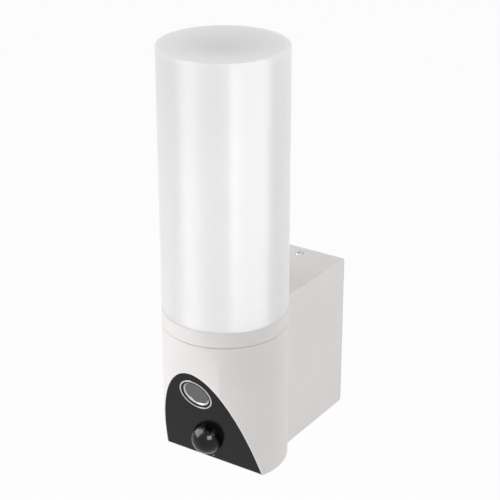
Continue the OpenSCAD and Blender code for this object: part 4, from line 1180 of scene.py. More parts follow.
@dataclass
class LampHead(SubAssembly):
    """The opal diffuser, the collar that carries it, and the light column inside.

    Attributes:
        crown_r: Radius of the rounding of the diffuser's top edge.
        rim_w: Width of the flat rim round the dish.
        dish_depth: Depth of the dish.
        gate_r: Radius of the gate mark.
        gate_h: Height of the gate mark.
        skirt_r: Outside radius of the diffuser's skirt.
        skirt_z: Height of the skirt's lower edge.
        skin: Wall thickness of the diffuser.
        shelf_z: Height of the collar's shelf.
        collar_in: Inside radius of the collar.
        spigot_r: Outside radius of the collar's spigot.
        spigot_z: Height of the spigot's lower edge.
        spigot_t: Wall thickness of the spigot.
        groove: Depth of the spigot's groove and half its height.
        ring: Radius of the sealing ring's section and its depth in the spigot.
        shelf_in: Inside radius of the shelf.
        drill_r: Radius of the carrier screws' holes.
    """

    crown_r: float = 0.8
    rim_w: float = 0.5
    dish_depth: float = 2.0
    gate_r: float = 1.2
    gate_h: float = 0.3
    skirt_r: float = 37.6
    skirt_z: float = 98.5
    skin: float = 2.5
    shelf_z: float = 97.5
    collar_in: float = 37.8
    spigot_r: float = 37.3
    spigot_z: float = 90.5
    spigot_t: float = 2.2
    groove: Point = (1.3, 0.7)
    ring: Point = (0.7, 0.6)
    shelf_in: float = 26.8
    drill_r: float = 1.75

    def build(self) -> None:
        """Builds and dresses the head's pieces."""
        self.diffuser()
        self.collar()
        self.seals()
        self.dress(FINISH.aluminium, "led_carrier", "led_column")
        self.dress(FINISH.dark_steel, "head_screws")
        self.dress(FINISH.white, "column_cap")
        self.dress(FINISH.light_board, "led_strips")
        self.dress(FINISH.phosphor, "led_chips")

    def diffuser(self) -> None:
        """Turns the diffuser with its dish, rounded crown and gate mark."""
        top, base = LAYOUT.lamp_h, LAYOUT.diffuser_base
        radius = LAYOUT.body_r - LAYOUT.gap
        dish_a = radius - self.crown_r - self.rim_w
        dish_r = (dish_a**2 + self.dish_depth**2) / (2 * self.dish_depth)
        floor = top - self.dish_depth
        gate_z = floor + self.gate_h
        gate = rounded([(0.0, gate_z, 0.0), (self.gate_r, gate_z, 0.15), (self.gate_r, floor, 0.0)])
        dish = []
        for i in range(1, 25):
            r = self.gate_r + (dish_a - self.gate_r) * i / 24
            dish.append((r, floor + dish_r - math.sqrt(dish_r**2 - r**2)))
        crown = arc((radius - self.crown_r, top - self.crown_r), self.crown_r, 90.0, 0.0, 12)
        inner, skirt_in = radius - self.skin, self.skirt_r - self.skin
        rest = rounded(
            [
                (radius, top - self.crown_r - 1.0, 0.0),
                (radius, base, 0.1),
                (self.skirt_r, base, 0.3),
                (self.skirt_r, self.skirt_z, 0.3),
                (skirt_in, self.skirt_z, 0.3),
                (skirt_in, base + 4.0, 1.0),
                (inner, base + 4.0 + inner - skirt_in, 1.0),
                (inner, floor - self.skin, 2.0),
                (0.0, floor - self.skin, 0.0),
            ]
        )
        form = Form.turned(gate + dish + crown + rest, 192).on_pillar()
        form.piece(DIFFUSER, FINISH.opal, ["diffuser"], slot="opal")

    def collar(self) -> None:
        """Turns the collar and drills its screw holes."""
        low, seam, body_r = LAYOUT.housing_h, LAYOUT.seam, LAYOUT.body_r
        spigot_in = self.spigot_r - self.spigot_t
        depth, half = self.groove
        groove_in, groove_z = self.spigot_r - depth, (self.spigot_z + low) / 2
        foot, top = body_r - 2 * seam, LAYOUT.diffuser_base - 0.05
        section = rounded(
            [
                (spigot_in, self.spigot_z, 0.3),
                (self.spigot_r, self.spigot_z, 0.3),
                (self.spigot_r, groove_z - half, 0.0),
                (groove_in, groove_z - half, 0.0),
                (groove_in, groove_z + half, 0.0),
                (self.spigot_r, groove_z + half, 0.0),
                (self.spigot_r, low, 0.0),
                (foot, low, 0.0),
                (foot, low + seam, 0.0),
                (body_r, low + seam, 0.1),
                (body_r, top, 0.1),
                (self.collar_in, top, 0.3),
                (self.collar_in, self.shelf_z, 0.5),
                (self.shelf_in, self.shelf_z, 0.3),
                (self.shelf_in, low, 0.3),
                (spigot_in, low, 0.3),
            ]
        )
        drills = []
        for turn in LAYOUT.carrier_turns():
            drill = Form.bar(self.drill_r, low - 2.0, self.shelf_z + 2.0)
            drills.append(drill.at(LAYOUT.carrier_ring, 0.0, 0.0).placed(turn))
        form = Form.turned(section, 192).cut(*drills).on_pillar()
        form.piece("collar_band", FINISH.white, ["collar"], slot="white")

    def seals(self) -> None:
        """Makes the flat seal under the diffuser and the sealing ring on the spigot."""
        inner = self.skirt_r - self.skin
        flat = rounded(
            [
                (inner, self.shelf_z, 0.3),
                (self.skirt_r, self.shelf_z, 0.3),
                (self.skirt_r, self.skirt_z, 0.3),
                (inner, self.skirt_z, 0.3),
            ]
        )
        form = Form.turned(flat).on_pillar()
        form.piece("skirt_seal", FINISH.pale_rubber, ["diffuser_seal"], slot="pale_rubber")
        radius, depth = self.ring
        middle = (self.spigot_r - depth, (self.spigot_z + LAYOUT.housing_h) / 2)
        form = Form.turned(circle(radius, middle, 20)).on_pillar()
        form.piece("spigot_ring", FINISH.rubber, ["collar_seal"], slot="rubber")


@dataclass
class LowerHousing(SubAssembly):
    """The slant-fronted housing with its bosses, rails, service port and sound holes.

    Attributes:
        ledge_depth: Depth of the panel's rebate.
        ledge_t: Thickness of the ledge behind it.
        ledge_w: Width of the ledge.
        boss_r: Radius of the screw bosses.
        pilot_r: Radius of the pilot holes in them.
        grip: Length of a screw's grip in its boss.
        board: Half width, distance behind the axis and thickness of the main board.
        board_z: Height of the board's lower edge.
        rail: Grip, wall and height of the board's rails.
        board_gap: Clearance of the board in its rails, across and through.
        port: Length, width and depth of the service port.
        block: Width of the block round the port and its height.
        slot: Width and thickness of the card's slot.
        guide: Radius, wall and height of the reset button's guide.
        speaker: Radius of the loudspeaker and its distance behind the axis.
        rib: Thickness and height of the rib round the loudspeaker.
        hole: Radius of a sound hole, width of its flare and distance to the next hole.
        ease: Width of the rounding of outside edges.
    """

    ledge_depth: float = 2.6
    ledge_t: float = 2.0
    ledge_w: float = 2.1
    boss_r: float = 3.75
    pilot_r: float = 1.55
    grip: float = 8.0
    board: Spot = (27.0, 6.0, 1.6)
    board_z: float = 7.0
    rail: Spot = (2.0, 1.8, 56.0)
    board_gap: Point = (0.2, 0.1)
    port: Spot = (32.0, 11.0, 2.2)
    block: Point = (1.5, 4.5)
    slot: Point = (11.6, 1.5)
    guide: Spot = (1.45, 1.5, 7.3)
    speaker: Point = (12.2, 24.8)
    rib: Point = (1.0, 5.2)
    hole: Spot = (0.8, 0.25, 3.6)
    ease: float = 0.25

    def build(self) -> None:
        """Builds and dresses the housing's pieces."""
        self.shell()
        self.dress(FINISH.mesh, "speaker_mesh")
        self.dress(FINISH.can, "speaker_basket")
        self.dress(FINISH.cone, "speaker_cone")
        self.dress(FINISH.ferrite, "speaker_magnet")

    def in_front(self, depth: float) -> Form:
        """Makes the block in front of the plane that lies a depth behind the face."""
        span = 300.0
        return self.on_face(Form.block((-span, -span, -depth), (span, span, span)))

    @staticmethod
    def on_face(form: Form) -> Form:
        """Puts a form on the face, still on the pillar's axes."""
        return form.placed(LAYOUT.pillar().inverted() @ LAYOUT.face())

    def shell(self) -> None:
        """Cuts the housing from a round bar, with its bore, rebate, port and holes."""
        body_r, low, high = LAYOUT.body_r, LAYOUT.wall, LAYOUT.housing_h
        hollow = Form.bar(body_r - LAYOUT.wall, low, high + 1.0, 256)
        hollow.cut(self.in_front(self.ledge_depth + self.ledge_t))
        lip, seam = LAYOUT.face_lip, LAYOUT.seam
        rebate = Form.plate(LAYOUT.outline(body_r - lip, lip), -self.ledge_depth, 1.0)
        foot = lip + self.ledge_w
        mouth = Form.plate(LAYOUT.outline(body_r - foot, foot), -self.ledge_depth - 5.0, -1.0)
        light = Form.bar(LAYOUT.light_hole_r, -9.5, 0.0, 24).at(0.0, LAYOUT.light_rise, 0.0)
        over = body_r + 1.0
        inner = body_r - seam / 2
        corners = [(inner, high), (over, high - seam / 2 - 1.0), (over, high + 1.0), (inner, high + 1.0)]
        groove = Form.turned(corners, 256)
        form = Form.bar(body_r, 0.0, high, 256).cut(hollow)
        form.weld(*self.inside())
        form.cut(self.in_front(0.0), *map(self.on_face, (rebate, mouth, light)), groove)
        form.cut(*self.openings())
        form.eased(self.ease, self.outside)
        form.on_pillar().piece("housing_shell", FINISH.white, ["lower_housing"], slot="white")

    def inside(self) -> list[Form]:
        """Makes the bosses, rails, port block and speaker rib inside the housing."""
        high, low = LAYOUT.housing_h, LAYOUT.wall / 2
        skin = LAYOUT.body_r - LAYOUT.wall / 2
        made = []
        foot = high - self.grip - 4.0
        tip = [(0.0, foot - self.boss_r), (1.5, foot - self.boss_r), (self.boss_r, foot)]
        for turn in LAYOUT.carrier_turns():
            boss = Form.turned([*tip, (self.boss_r, high), (0.0, high)], 32)
            boss.at(LAYOUT.carrier_ring, 0.0, 0.0)
            half = self.boss_r / 2
            rib = Form.block((LAYOUT.carrier_ring, -half, foot), (skin, half, high - 4.2))
            made += [boss.placed(turn), rib.placed(turn)]
        wide, back, thick = self.board
        grip, wall, rise = self.rail
        bore = LAYOUT.body_r - LAYOUT.wall
        for side in (-1, 1):
            reach = math.sqrt(skin**2 - (back + thick + wall) ** 2)
            ends = sorted((side * (wide - grip), side * reach))
            made.append(Form.block((ends[0], back - wall, low), (ends[1], back + thick + wall, rise)))
            for z in LAYOUT.saddle_at[1:]:
                start = math.sqrt(bore**2 - LAYOUT.saddle_at[0] ** 2) - self.grip
                post = along_y(Form.bar(self.boss_r, start, start + self.grip, 32))
                made.append(post.at(side * LAYOUT.saddle_at[0], 0.0, z))
        width, block_h = self.block
        size = self.port[0] + 2 * width, self.port[1] + 2 * width
        made.append(Form.plate(stadium(*size, (0.0, LAYOUT.port_y)), low, block_h))
        radius, wall, top = self.guide
        made.append(Form.bar(radius + wall, low, top, 32).at(*LAYOUT.button_at, 0.0))
        inner, speaker_y = self.speaker
        rib = Form.sleeve(inner, inner + self.rib[0], low, self.rib[1], 64)
        made.append(rib.at(0.0, speaker_y, 0.0))
        return made

    def openings(self) -> list[Form]:
        """Makes what is cut for the port, the sound holes, the boards and the screws."""
        length, width, depth = self.port
        made = [Form.plate(stadium(length, width, (0.0, LAYOUT.port_y)), -1.0, depth)]
        half_w, half_t = self.slot[0] / 2, self.slot[1] / 2
        x, y = LAYOUT.card_at
        made.append(Form.block((x - half_w, y - half_t, 0.0), (x + half_w, y + half_t, 6.0)))
        made.append(Form.bar(self.guide[0], 0.0, 9.0, 32).at(*LAYOUT.button_at, 0.0))
        radius, flare, pitch = self.hole
        spots = [(0.0, 0.0)] + [spot for k in (1, 2) for spot in circle(pitch * k, steps=6 * k)]
        shape = [(0.0, -flare), (radius + 2 * flare, -flare), (radius, flare), (radius, 4.0), (0.0, 4.0)]
        holes = [Form.turned(shape, 24).at(x, y + self.speaker[1], 0.0) for x, y in spots]
        made.append(holes[0].with_loose(holes[1:]))
        passage_r, passage_z = LAYOUT.passage
        rear, top = LAYOUT.body_r + 2.0, LAYOUT.housing_h + 5.5
        made.append(along_y(Form.bar(passage_r, 0.0, rear, 64)).at(0.0, 0.0, passage_z))
        wide, back, thick = self.board
        across, through = self.board_gap
        for side in (-1, 1):
            ends = sorted((side * (wide - 3.0), side * (wide + across)))
            low, high = (ends[0], back - through, self.board_z), (ends[1], back + thick + through, top)
            made.append(Form.block(low, high))
            for z in LAYOUT.saddle_at[1:]:
                drill = along_y(Form.bar(self.pilot_r, rear - 22.0, rear, 24))
                made.append(drill.at(side * LAYOUT.saddle_at[0], 0.0, z))
        for turn in LAYOUT.carrier_turns():
            drill = Form.bar(self.pilot_r, LAYOUT.housing_h - self.grip - 1.0, top, 24)
            made.append(drill.at(LAYOUT.carrier_ring, 0.0, 0.0).placed(turn))
        return made

    def outside(self, mid: Vector) -> bool:
        """Says whether an edge shows on the outside of the housing, other than at the sound holes."""
        if math.hypot(mid.x, mid.y - self.speaker[1]) < self.speaker[0]:
            return False
        slope = mid.y + LAYOUT.face_axis + mid.z * math.tan(LAYOUT.tilt)
        return math.hypot(mid.x, mid.y) > LAYOUT.body_r - 0.1 or abs(slope) < 0.05 or mid.z < 0.05


@dataclass
class FrontPanel(SubAssembly):
    """The black panel with the camera's trim and optics, the motion sensor's dome and the status light.

    Attributes:
        thick: Thickness of the panel.
        gap: Gap round the panel.
        fit: Clearance of the trim and the dome in the panel.
        gasket_t: Thickness of the gasket behind it.
        mouth_foot: Width of the lip and ledge round the mouth.
        ring: Middle radius, half width, seat depth and crown height of the outer trim ring.
        bezel: Radius, wall, sink and back of the lens bezel.
        window: Radius, sink and thickness of the lens window.
        inner: Width and sink of the inner trim ring.
        barrel: Head radius, front, head height and back of the lens barrel.
        thread_r: Radius of the barrel's thread.
        hood: Radii of the hood at the lens and at its mouth, and its depth.
        dome: Radius, wall and proud height of the sensor's dome.
        light_r: Radius of the light pipe.
        light_back: Depth of the light pipe's rear end.
        post_r: Radius of the board posts.
        pilot: Radius and depth of the pilot holes in them.
        lens_posts: Ring radius and depth of the posts round the lens.
        dome_posts: Distances across and along the slope, and depth, of the posts round the dome.
    """

    thick: float = 2.0
    gap: float = 0.15
    fit: float = 0.1
    gasket_t: float = 0.6
    mouth_foot: float = 2.7
    ring: Four = (11.4, 0.5, 0.8, 0.25)
    bezel: Four = (10.2, 0.6, 0.15, 4.2)
    window: Spot = (9.5, 1.5, 1.0)
    inner: Point = (1.0, 0.6)
    barrel: Four = (7.0, 4.5, 4.5, 15.7)
    thread_r: float = 5.9
    hood: Spot = (4.3, 5.65, 2.6)
    dome: Spot = (10.4, 1.0, 0.5)
    light_r: float = 1.1
    light_back: float = 8.3
    post_r: float = 2.35
    pilot: Point = (1.05, 5.0)
    lens_posts: Point = (14.05, 17.0)
    dome_posts: Spot = (9.85, 13.0, 9.5)

    def build(self) -> None:
        """Builds and dresses the panel's pieces."""
        self.panel()
        self.gasket()
        self.trim()
        self.optics()
        self.sensor_dome()
        self.dress(FINISH.optic, "lens_element", "image_sensor")
        self.dress(FINISH.lens_black, "lens_holder")
        self.dress(FINISH.board, "camera_board", "sensor_board")
        self.dress(FINISH.can, "pir_sensor")
        self.dress(FINISH.steel, "panel_screws")
        self.dress(FINISH.light_board, "status_chip")
        self.dress(FINISH.ribbon, "camera_ribbon")

    def panel(self) -> None:
        """Makes the panel with its holes, the ring's groove and the posts behind it."""
        foot = LAYOUT.face_lip + self.gap
        lens, dome, light = LAYOUT.lens_rise, LAYOUT.dome_rise, LAYOUT.light_rise
        holes = [
            circle(self.bezel[0] + self.fit, (0.0, lens), 96),
            circle(self.dome[0] + self.fit, (0.0, dome), 96),
            circle(self.light_r + 0.05, (0.0, light), 24),
        ]
        form = Form.plate(LAYOUT.outline(LAYOUT.body_r - foot, foot), -self.thick, 0.0, holes, 0.15)
        middle, half, seat, _ = self.ring
        groove = Form.sleeve(middle - half - self.fit, middle + half + self.fit, -seat, 1.0, 160)
        form.cut(groove.at(0.0, lens, 0.0))
        ring, reach = self.lens_posts
        angles = [math.radians(angle) for angle in (200, 270, 340)]
        spots = [(ring * math.cos(a), lens + ring * math.sin(a), reach) for a in angles]
        across, along, reach = self.dome_posts
        spots += [(x, dome + y, reach) for x in (-across, across) for y in (-along, along)]
        bore, deep = self.pilot
        posts = []
        for x, y, depth in spots:
            shape = [(0.0, -1.0), (self.post_r, -1.0), (self.post_r, -depth)]
            shape += [(bore, -depth), (bore, deep - depth), (0.0, deep - depth)]
            posts.append(Form.turned(shape, 32).at(x, y, 0.0))
        form.weld(*posts).placed(LAYOUT.face())
        form.piece("black_panel", FINISH.black, ["front_panel"], slot="black")

    def gasket(self) -> None:
        """Makes the gasket between the panel and the ledge."""
        foot = LAYOUT.face_lip + 2 * self.gap
        outer = LAYOUT.outline(LAYOUT.body_r - foot, foot)
        mouth = LAYOUT.outline(LAYOUT.body_r - self.mouth_foot, self.mouth_foot)
        form = Form.plate(outer, -self.thick - self.gasket_t, -self.thick, [mouth], 0.1)
        form.cut(Form.bar(LAYOUT.light_hole_r, -9.0, 0.0, 24).at(0.0, LAYOUT.light_rise, 0.0))
        form.placed(LAYOUT.face()).piece("panel_seal", FINISH.rubber, ["panel_gasket"], slot="rubber")

    def trim(self) -> None:
        """Turns the two bright rings and the black bezel between them."""
        place = LAYOUT.face(LAYOUT.lens_rise)
        middle, half, seat, proud = self.ring
        crown = (half**2 + proud**2) / (2 * proud)
        turn = math.degrees(math.acos(half / crown))
        section = [(middle - half, -seat), (middle + half, -seat)]
        section += arc((middle, proud - crown), crown, turn, 180.0 - turn, 8)
        outer = Form.turned(section, 160).placed(place)
        outer.piece("outer_trim_ring", FINISH.silver, ["lens_ring"], slot="silver")
        radius, sink, _ = self.window
        width, top = self.inner
        cone = [
            (radius - width, -sink, 0.0),
            (radius, -sink, 0.0),
            (radius, -top, 0.06),
            (radius - 0.2, -top, 0.06),
            (radius - width, 0.2 - sink, 0.06),
        ]
        inner = Form.turned(rounded(cone), 160).placed(place)
        inner.piece("inner_trim_ring", FINISH.satin_trim, ["lens_inner_ring"], slot="silver")
        edge, wall, drop, back = self.bezel
        seat_r, seat_z = edge - wall - 1.8, sink + self.window[2]
        section = [
            (edge - wall, -drop, 0.12),
            (edge, -drop, 0.12),
            (edge, -self.thick, 0.0),
            (edge + 1.2, -self.thick, 0.2),
            (edge + 1.2, -back, 0.3),
            (seat_r, -back, 0.3),
            (seat_r, -seat_z, 0.0),
            (edge - wall, -seat_z, 0.0),
        ]
        bezel = Form.turned(rounded(section), 160).placed(place)
        bezel.piece("black_lens_bezel", FINISH.lens_black, ["lens_bezel"], slot="lens_black")

    def optics(self) -> None:
        """Turns the window and the lens barrel with its stepped hood."""
        place = LAYOUT.face(LAYOUT.lens_rise)
        radius, sink, thick = self.window
        pane = [
            (0.0, -sink - thick, 0.0),
            (radius, -sink - thick, 0.1),
            (radius, -sink, 0.1),
            (0.0, -sink, 0.0),
        ]
        form = Form.turned(rounded(pane), 128).placed(place)
        form.piece("lens_pane", FINISH.glass, ["lens_window"], slot="glass")
        head, front, head_h, back = self.barrel
        inner, outer, depth = self.hood
        steps = 6
        hood = []
        for k in range(steps):
            reach = inner + (outer - inner) * k / steps
            level = depth * (1 - (k + 1) / steps)
            hood += [(reach, -front - depth * (1 - k / steps)), (reach, -front - level)]
        threads = []
        turns = 12
        for k in range(turns):
            height = -front - head_h - (back - front - head_h) * k / turns
            threads += [(self.thread_r - 0.25, height), (self.thread_r, height - 0.25)]
        section = [(0.0, -front - depth), *hood, (outer, -front), (head, -front), (head, -front - head_h)]
        section += [*threads, (self.thread_r - 0.25, -back), (0.0, -back)]
        barrel = Form.turned(section, 96).placed(place)
        barrel.piece("stepped_lens_barrel", FINISH.lens_black, ["lens_barrel"], slot="lens_black")

    def sensor_dome(self) -> None:
        """Turns the motion sensor's dome and the light pipe under it."""
        radius, wall, proud = self.dome
        back = -self.thick - 1.0
        section = arc((0.0, proud), radius, 90.0, 0.0, 48)
        flange = radius + 1.6
        section += [(radius, -self.thick), (flange, -self.thick), (flange, back), (radius - wall, back)]
        section += arc((0.0, proud), radius - wall, 0.0, 90.0, 32)
        dome = Form.turned(section, 160)
        dome.placed(LAYOUT.face(LAYOUT.dome_rise))
        dome.piece("sensor_dome", FINISH.dome, ["pir_dome"], slot="dome")
        pipe = rounded(
            [
                (0.0, -self.light_back, 0.0),
                (self.light_r, -self.light_back, 0.2),
                (self.light_r, -0.1, 0.3),
                (0.0, 0.0, 0.0),
            ]
        )
        form = Form.turned(pipe, 32).placed(LAYOUT.face(LAYOUT.light_rise))
        form.piece("blue_status_light", FINISH.light, ["status_light"], slot="light_pipe")


@dataclass
class ServiceBay(SubAssembly):
    """What sits behind the service port: plug, memory card, reset button and the main board.

    Attributes:
        plug: Length, width and thickness of the plug.
        dimple: Radius, depth and place of the finger dimple.
        card: Width, thickness and height of the card.
        card_z: Height of the card's lower edge.
        pad: Width, length and spacing of the card's contacts.
        button: Stem radius, collar radius and tip radius of the button.
        button_z: Heights of the stem's foot, the collar's two faces and the tip.
    """

    plug: Spot = (31.4, 10.4, 2.0)
    dimple: Spot = (4.0, 0.7, -10.3)
    card: Spot = (11.0, 0.9, 15.0)
    card_z: float = 6.0
    pad: Spot = (0.75, 2.6, 1.1)
    button: Spot = (1.4, 2.2, 0.93)
    button_z: Four = (2.4, 7.6, 8.4, 10.6)

    def build(self) -> None:
        """Builds and dresses the bay's pieces."""
        self.service_plug()
        self.memory_card()
        self.reset_button()
        self.dress(FINISH.board, "main_board", "wifi_antenna")
        self.dress(FINISH.can, "shield_can", "card_socket")
        self.dress(FINISH.chip, "reset_switch")

    def service_plug(self) -> None:
        """Makes the plug with a sealing bead round it and a dimple for a finger."""
        length, width, thick = self.plug
        radius, depth, x = self.dimple
        bead = [(px, py, 0.65 * thick) for px, py in stadium(length, width)]
        dish = rounded([(0.0, -1.0, 0.0), (radius, -1.0, 0.0), (radius, depth, 0.45), (0.0, depth, 0.0)])
        form = Form.plate(stadium(length, width), 0.0, thick, (), 0.3)
        form.weld(Form.hoop(bead, 0.2)).cut(Form.turned(dish, 48).at(x, 0.0, 0.0))
        form.at(0.0, LAYOUT.port_y, 0.0).on_pillar()
        form.piece("port_plug", FINISH.plug, ["service_plug"], Body.PLUG, "pale_rubber")

    def memory_card(self) -> None:
        """Makes the card with its notched side, its thumb ridge and its contacts."""
        width, thick, height = self.card
        half = width / 2
        outline = [
            (-half, 0.0, 0.6),
            (half, 0.0, 0.6),
            (half, 0.43 * height, 0.2),
            (half - 0.6, 0.47 * height, 0.2),
            (half - 0.6, 0.55 * height, 0.2),
            (half - 1.3, 0.6 * height, 0.2),
            (half - 1.3, height, 0.5),
            (-half, height, 0.5),
        ]
        ridge = rounded(box_corners(width - 1.2, 1.4, 0.4, (0.0, 1.0)))
        form = Form.plate(rounded(outline), -thick / 2 + 0.2, thick / 2, (), 0.08)
        form.weld(Form.plate(ridge, -thick / 2, 0.0, (), 0.08))
        pad_w, pad_l, pitch = self.pad
        pads = []
        for k in range(8):
            spot = (-half + 1.3 + pitch * k, height - 2.0)
            pads.append(Form.plate(rounded(box_corners(pad_w, pad_l, 0.15, spot)), 0.42, 0.45))
        lower_edge = Matrix.Translation((*LAYOUT.card_at, self.card_z))
        place = LAYOUT.pillar() @ lower_edge @ Matrix.Rotation(math.pi / 2, 4, "X")
        form.placed(place)
        form.piece("notched_memory_card", FINISH.card, ["memory_card"], Body.CARD, "electronics")
        contacts = pads[0].with_loose(pads[1:]).placed(place)
        contacts.piece("card_contacts", FINISH.gold, (), Body.CARD, "brass")

    def reset_button(self) -> None:
        """Turns the button's stem with its collar, its tip and a shallow cup in its foot."""
        stem, collar, tip = self.button
        foot, under, over, top = self.button_z
        section = [
            (0.0, foot + 0.2, 0.0),
            (stem - 0.5, foot, 0.0),
            (stem, foot, 0.15),
            (stem, under, 0.0),
            (collar, under, 0.15),
            (collar, over, 0.15),
            (tip, over, 0.0),
            (tip, top, 0.2),
            (0.0, top, 0.0),
        ]
        form = Form.turned(rounded(section), 48).at(*LAYOUT.button_at, 0.0).on_pillar()
        form.piece("reset_stem", FINISH.white, ["reset_button"], Body.BUTTON, "white")


@dataclass
class WallBox(SubAssembly):
    """The box that carries the pillar, its locking screws and the bracket on the wall.

    Attributes:
        width: Width of the box.
        wall: Wall thickness of the box.
        edge_r: Radius of its long edges.
        back: Distance of its rear edge behind the pillar's axis.
        saddle_r: Radius of the saddle.
        pad: Radius and rear face of the screw pads.
        drills: Radii of the saddle screws' holes and of the posts' pilot holes.
        post: Radius and rear face of the driver board's posts.
        post_at: Sideways distance and two heights of those posts.
        lock_y: Distance of the locking screws behind the axis.
        lock: Recess radius, recess depth and hole radius at a locking screw.
        screw: Thread radius, pitch, length, head radius and head height of a locking screw.
        washer: Inside radius, lower face and upper face of its washer.
        sheet: Thickness of the bracket.
        bracket: Half width, lowest and highest edge of the bracket.
        flange: Front edge and half width of its flanges.
        slot: Length and width of the wall-screw slots, and their distance from the middle.
        earth: Sideways distance, height over the middle and radius of the earth screw's hole.
        cable: Bore, nozzle, neck and flange radius of the cable grommet.
        cable_hole: Radius of the bracket's hole for it.
        bush: Bore, neck and flange radius of the lead grommet.
        ease: Widths of the roundings of the box's and the bracket's edges.
    """

    width: float = 60.0
    wall: float = 2.5
    edge_r: float = 1.2
    back: float = 96.0
    saddle_r: float = 40.15
    pad: Point = (3.75, 46.65)
    drills: Point = (1.75, 1.05)
    post: Point = (2.35, 52.15)
    post_at: Spot = (18.0, 12.0, 64.0)
    lock_y: float = 88.0
    lock: Spot = (3.05, 1.9, 1.75)
    screw: tuple[float, float, float, float, float] = (1.5, 0.5, 9.0, 2.75, 1.2)
    washer: Spot = (1.55, -1.8, -1.3)
    sheet: float = 1.6
    bracket: Spot = (27.1, 2.9, 105.1)
    flange: Point = (79.5, 15.0)
    slot: Spot = (10.0, 5.0, 30.0)
    earth: Spot = (-17.0, -14.0, 1.55)
    cable: Four = (5.0, 7.0, 8.9, 10.5)
    cable_hole: float = 9.0
    bush: Spot = (3.5, 6.9, 8.5)
    ease: Point = (0.3, 0.2)

    def build(self) -> None:
        """Builds and dresses the box's pieces."""
        self.shell()
        self.seal()
        self.wall_bracket()
        self.grommets()
        self.locking(Body.TOP_SCREW, Body.TOP_WASHER, "top")
        self.locking(Body.BOTTOM_SCREW, Body.BOTTOM_WASHER, "bottom")
        self.dress(FINISH.dark_steel, "saddle_screws")
        self.dress(FINISH.steel, "lock_nuts", "terminal_screws")
        self.dress(FINISH.ivory, "terminal_block")
        self.dress(FINISH.brass, "earth_screw")

    def outline(self, inset: float) -> list[Point]:
        """Gives the box's outline across and down, inset from its outside."""
        size = self.width - 2 * inset, LAYOUT.box_h - 2 * inset
        return rounded(box_corners(*size, self.edge_r, (0.0, -LAYOUT.box_h / 2)), 6)

    def at_screws(self, spots: Spot, radius: float, low: float, high: float) -> list[Form]:
        """Makes round bars along y at four mirrored places.

        Args:
            spots: Sideways distance and two heights.
            radius: Radius of the bars.
            low: Their front end.
            high: Their rear end.

        Returns:
            The four bars.
        """
        places = [(side * spots[0], z) for side in (-1, 1) for z in spots[1:]]
        return [along_y(Form.bar(radius, low, high, 32)).at(x, 0.0, z) for x, z in places]

    def shell(self) -> None:
        """Makes the box with its saddle, pads, posts, passage and screw recesses."""
        tall = LAYOUT.box_h + 1.0
        form = along_y(Form.plate(self.outline(0.0), 0.0, self.back))
        hollow = along_y(Form.plate(self.outline(self.wall), 0.0, self.back + 1.0))
        hollow.cut(Form.bar(self.saddle_r + self.wall, -1.0, tall, 256))
        form.cut(hollow)
        form.weld(*self.at_screws(LAYOUT.saddle_at, self.pad[0], 29.5, self.pad[1]))
        form.weld(*self.at_screws(self.post_at, self.post[0], 30.0, self.post[1]))
        radius, depth, hole = self.lock
        through, pilot = self.drills
        passage_r, passage_z = LAYOUT.passage
        form.cut(
            Form.bar(self.saddle_r, -1.0, tall, 256),
            *self.at_screws(LAYOUT.saddle_at, through, 0.0, 60.0),
            *self.at_screws(self.post_at, pilot, self.post[1] - 6.0, 60.0),
            along_y(Form.bar(passage_r, 0.0, 60.0, 64)).at(0.0, 0.0, passage_z),
            Form.bar(hole, -1.0, tall, 48).at(0.0, self.lock_y, 0.0),
            Form.bar(radius, LAYOUT.box_h - depth, tall, 64).at(0.0, self.lock_y, 0.0),
            Form.bar(radius, -1.0, depth, 64).at(0.0, self.lock_y, 0.0),
        )
        form.eased(self.ease[0], self.outside)
        form.on_pillar().piece("wall_box_shell", FINISH.white, ["wall_box"], slot="white")

    def outside(self, mid: Vector) -> bool:
        """Says whether an edge shows on the outside of the box."""
        ends = min(mid.z, LAYOUT.box_h - mid.z, self.back - mid.y)
        return abs(mid.x) > self.width / 2 - 0.05 or ends < 0.05

    def seal(self) -> None:
        """Makes the foam seal between the box and the wall."""
        inside = self.outline(self.wall)
        form = along_y(Form.plate(self.outline(0.5), self.back, LAYOUT.reach, [inside], 0.4))
        form.on_pillar().piece("foam_wall_seal", FINISH.foam, ["wall_seal"], slot="pale_rubber")

    def wall_bracket(self) -> None:
        """Bends the bracket from sheet, with its slots and holes."""
        half, low, high = self.bracket
        front, flange_half = self.flange
        wall, thick = LAYOUT.reach, self.sheet
        bend = 2 * thick
        turn = wall - bend
        section = [(front, low), (front, low + thick)]
        section += arc((turn, low + bend), bend - thick, 270.0, 360.0, 10)
        section += arc((turn, high - bend), bend - thick, 0.0, 90.0, 10)
        section += [(front, high - thick), (front, high)]
        section += arc((turn, high - bend), bend, 90.0, 0.0, 10)
        section += arc((turn, low + bend), bend, 360.0, 270.0, 10)
        across = Matrix(((0, 0, 1, 0), (1, 0, 0, 0), (0, 1, 0, 0), (0, 0, 0, 1)))
        form = Form.plate(section, -half, half).placed(across)
        mid = LAYOUT.box_h / 2
        low, high = wall - 5.0, wall + 1.0
        x, drop, radius = self.earth
        tools = [
            along_y(Form.bar(self.cable_hole, low, high, 64)).at(0.0, 0.0, mid),
            along_y(Form.bar(radius, low, high, 24)).at(x, 0.0, mid + drop),
            Form.bar(radius, -1.0, LAYOUT.box_h, 24).at(0.0, self.lock_y, 0.0),
        ]
        length, width, distance = self.slot
        upright = Matrix.Rotation(math.pi / 2, 4, "Z")
        for side in (-1, 1):
            ends = sorted((side * flange_half, side * 60.0))
            tools.append(Form.block((ends[0], front - 1.0, 0.0), (ends[1], turn, LAYOUT.box_h)))
            slot = Form.plate(stadium(length, width), low, high).placed(upright)
            tools.append(along_y(slot).at(0.0, 0.0, mid + side * distance))
        form.cut(*tools).eased(self.ease[1], sharp=50.0).on_pillar()
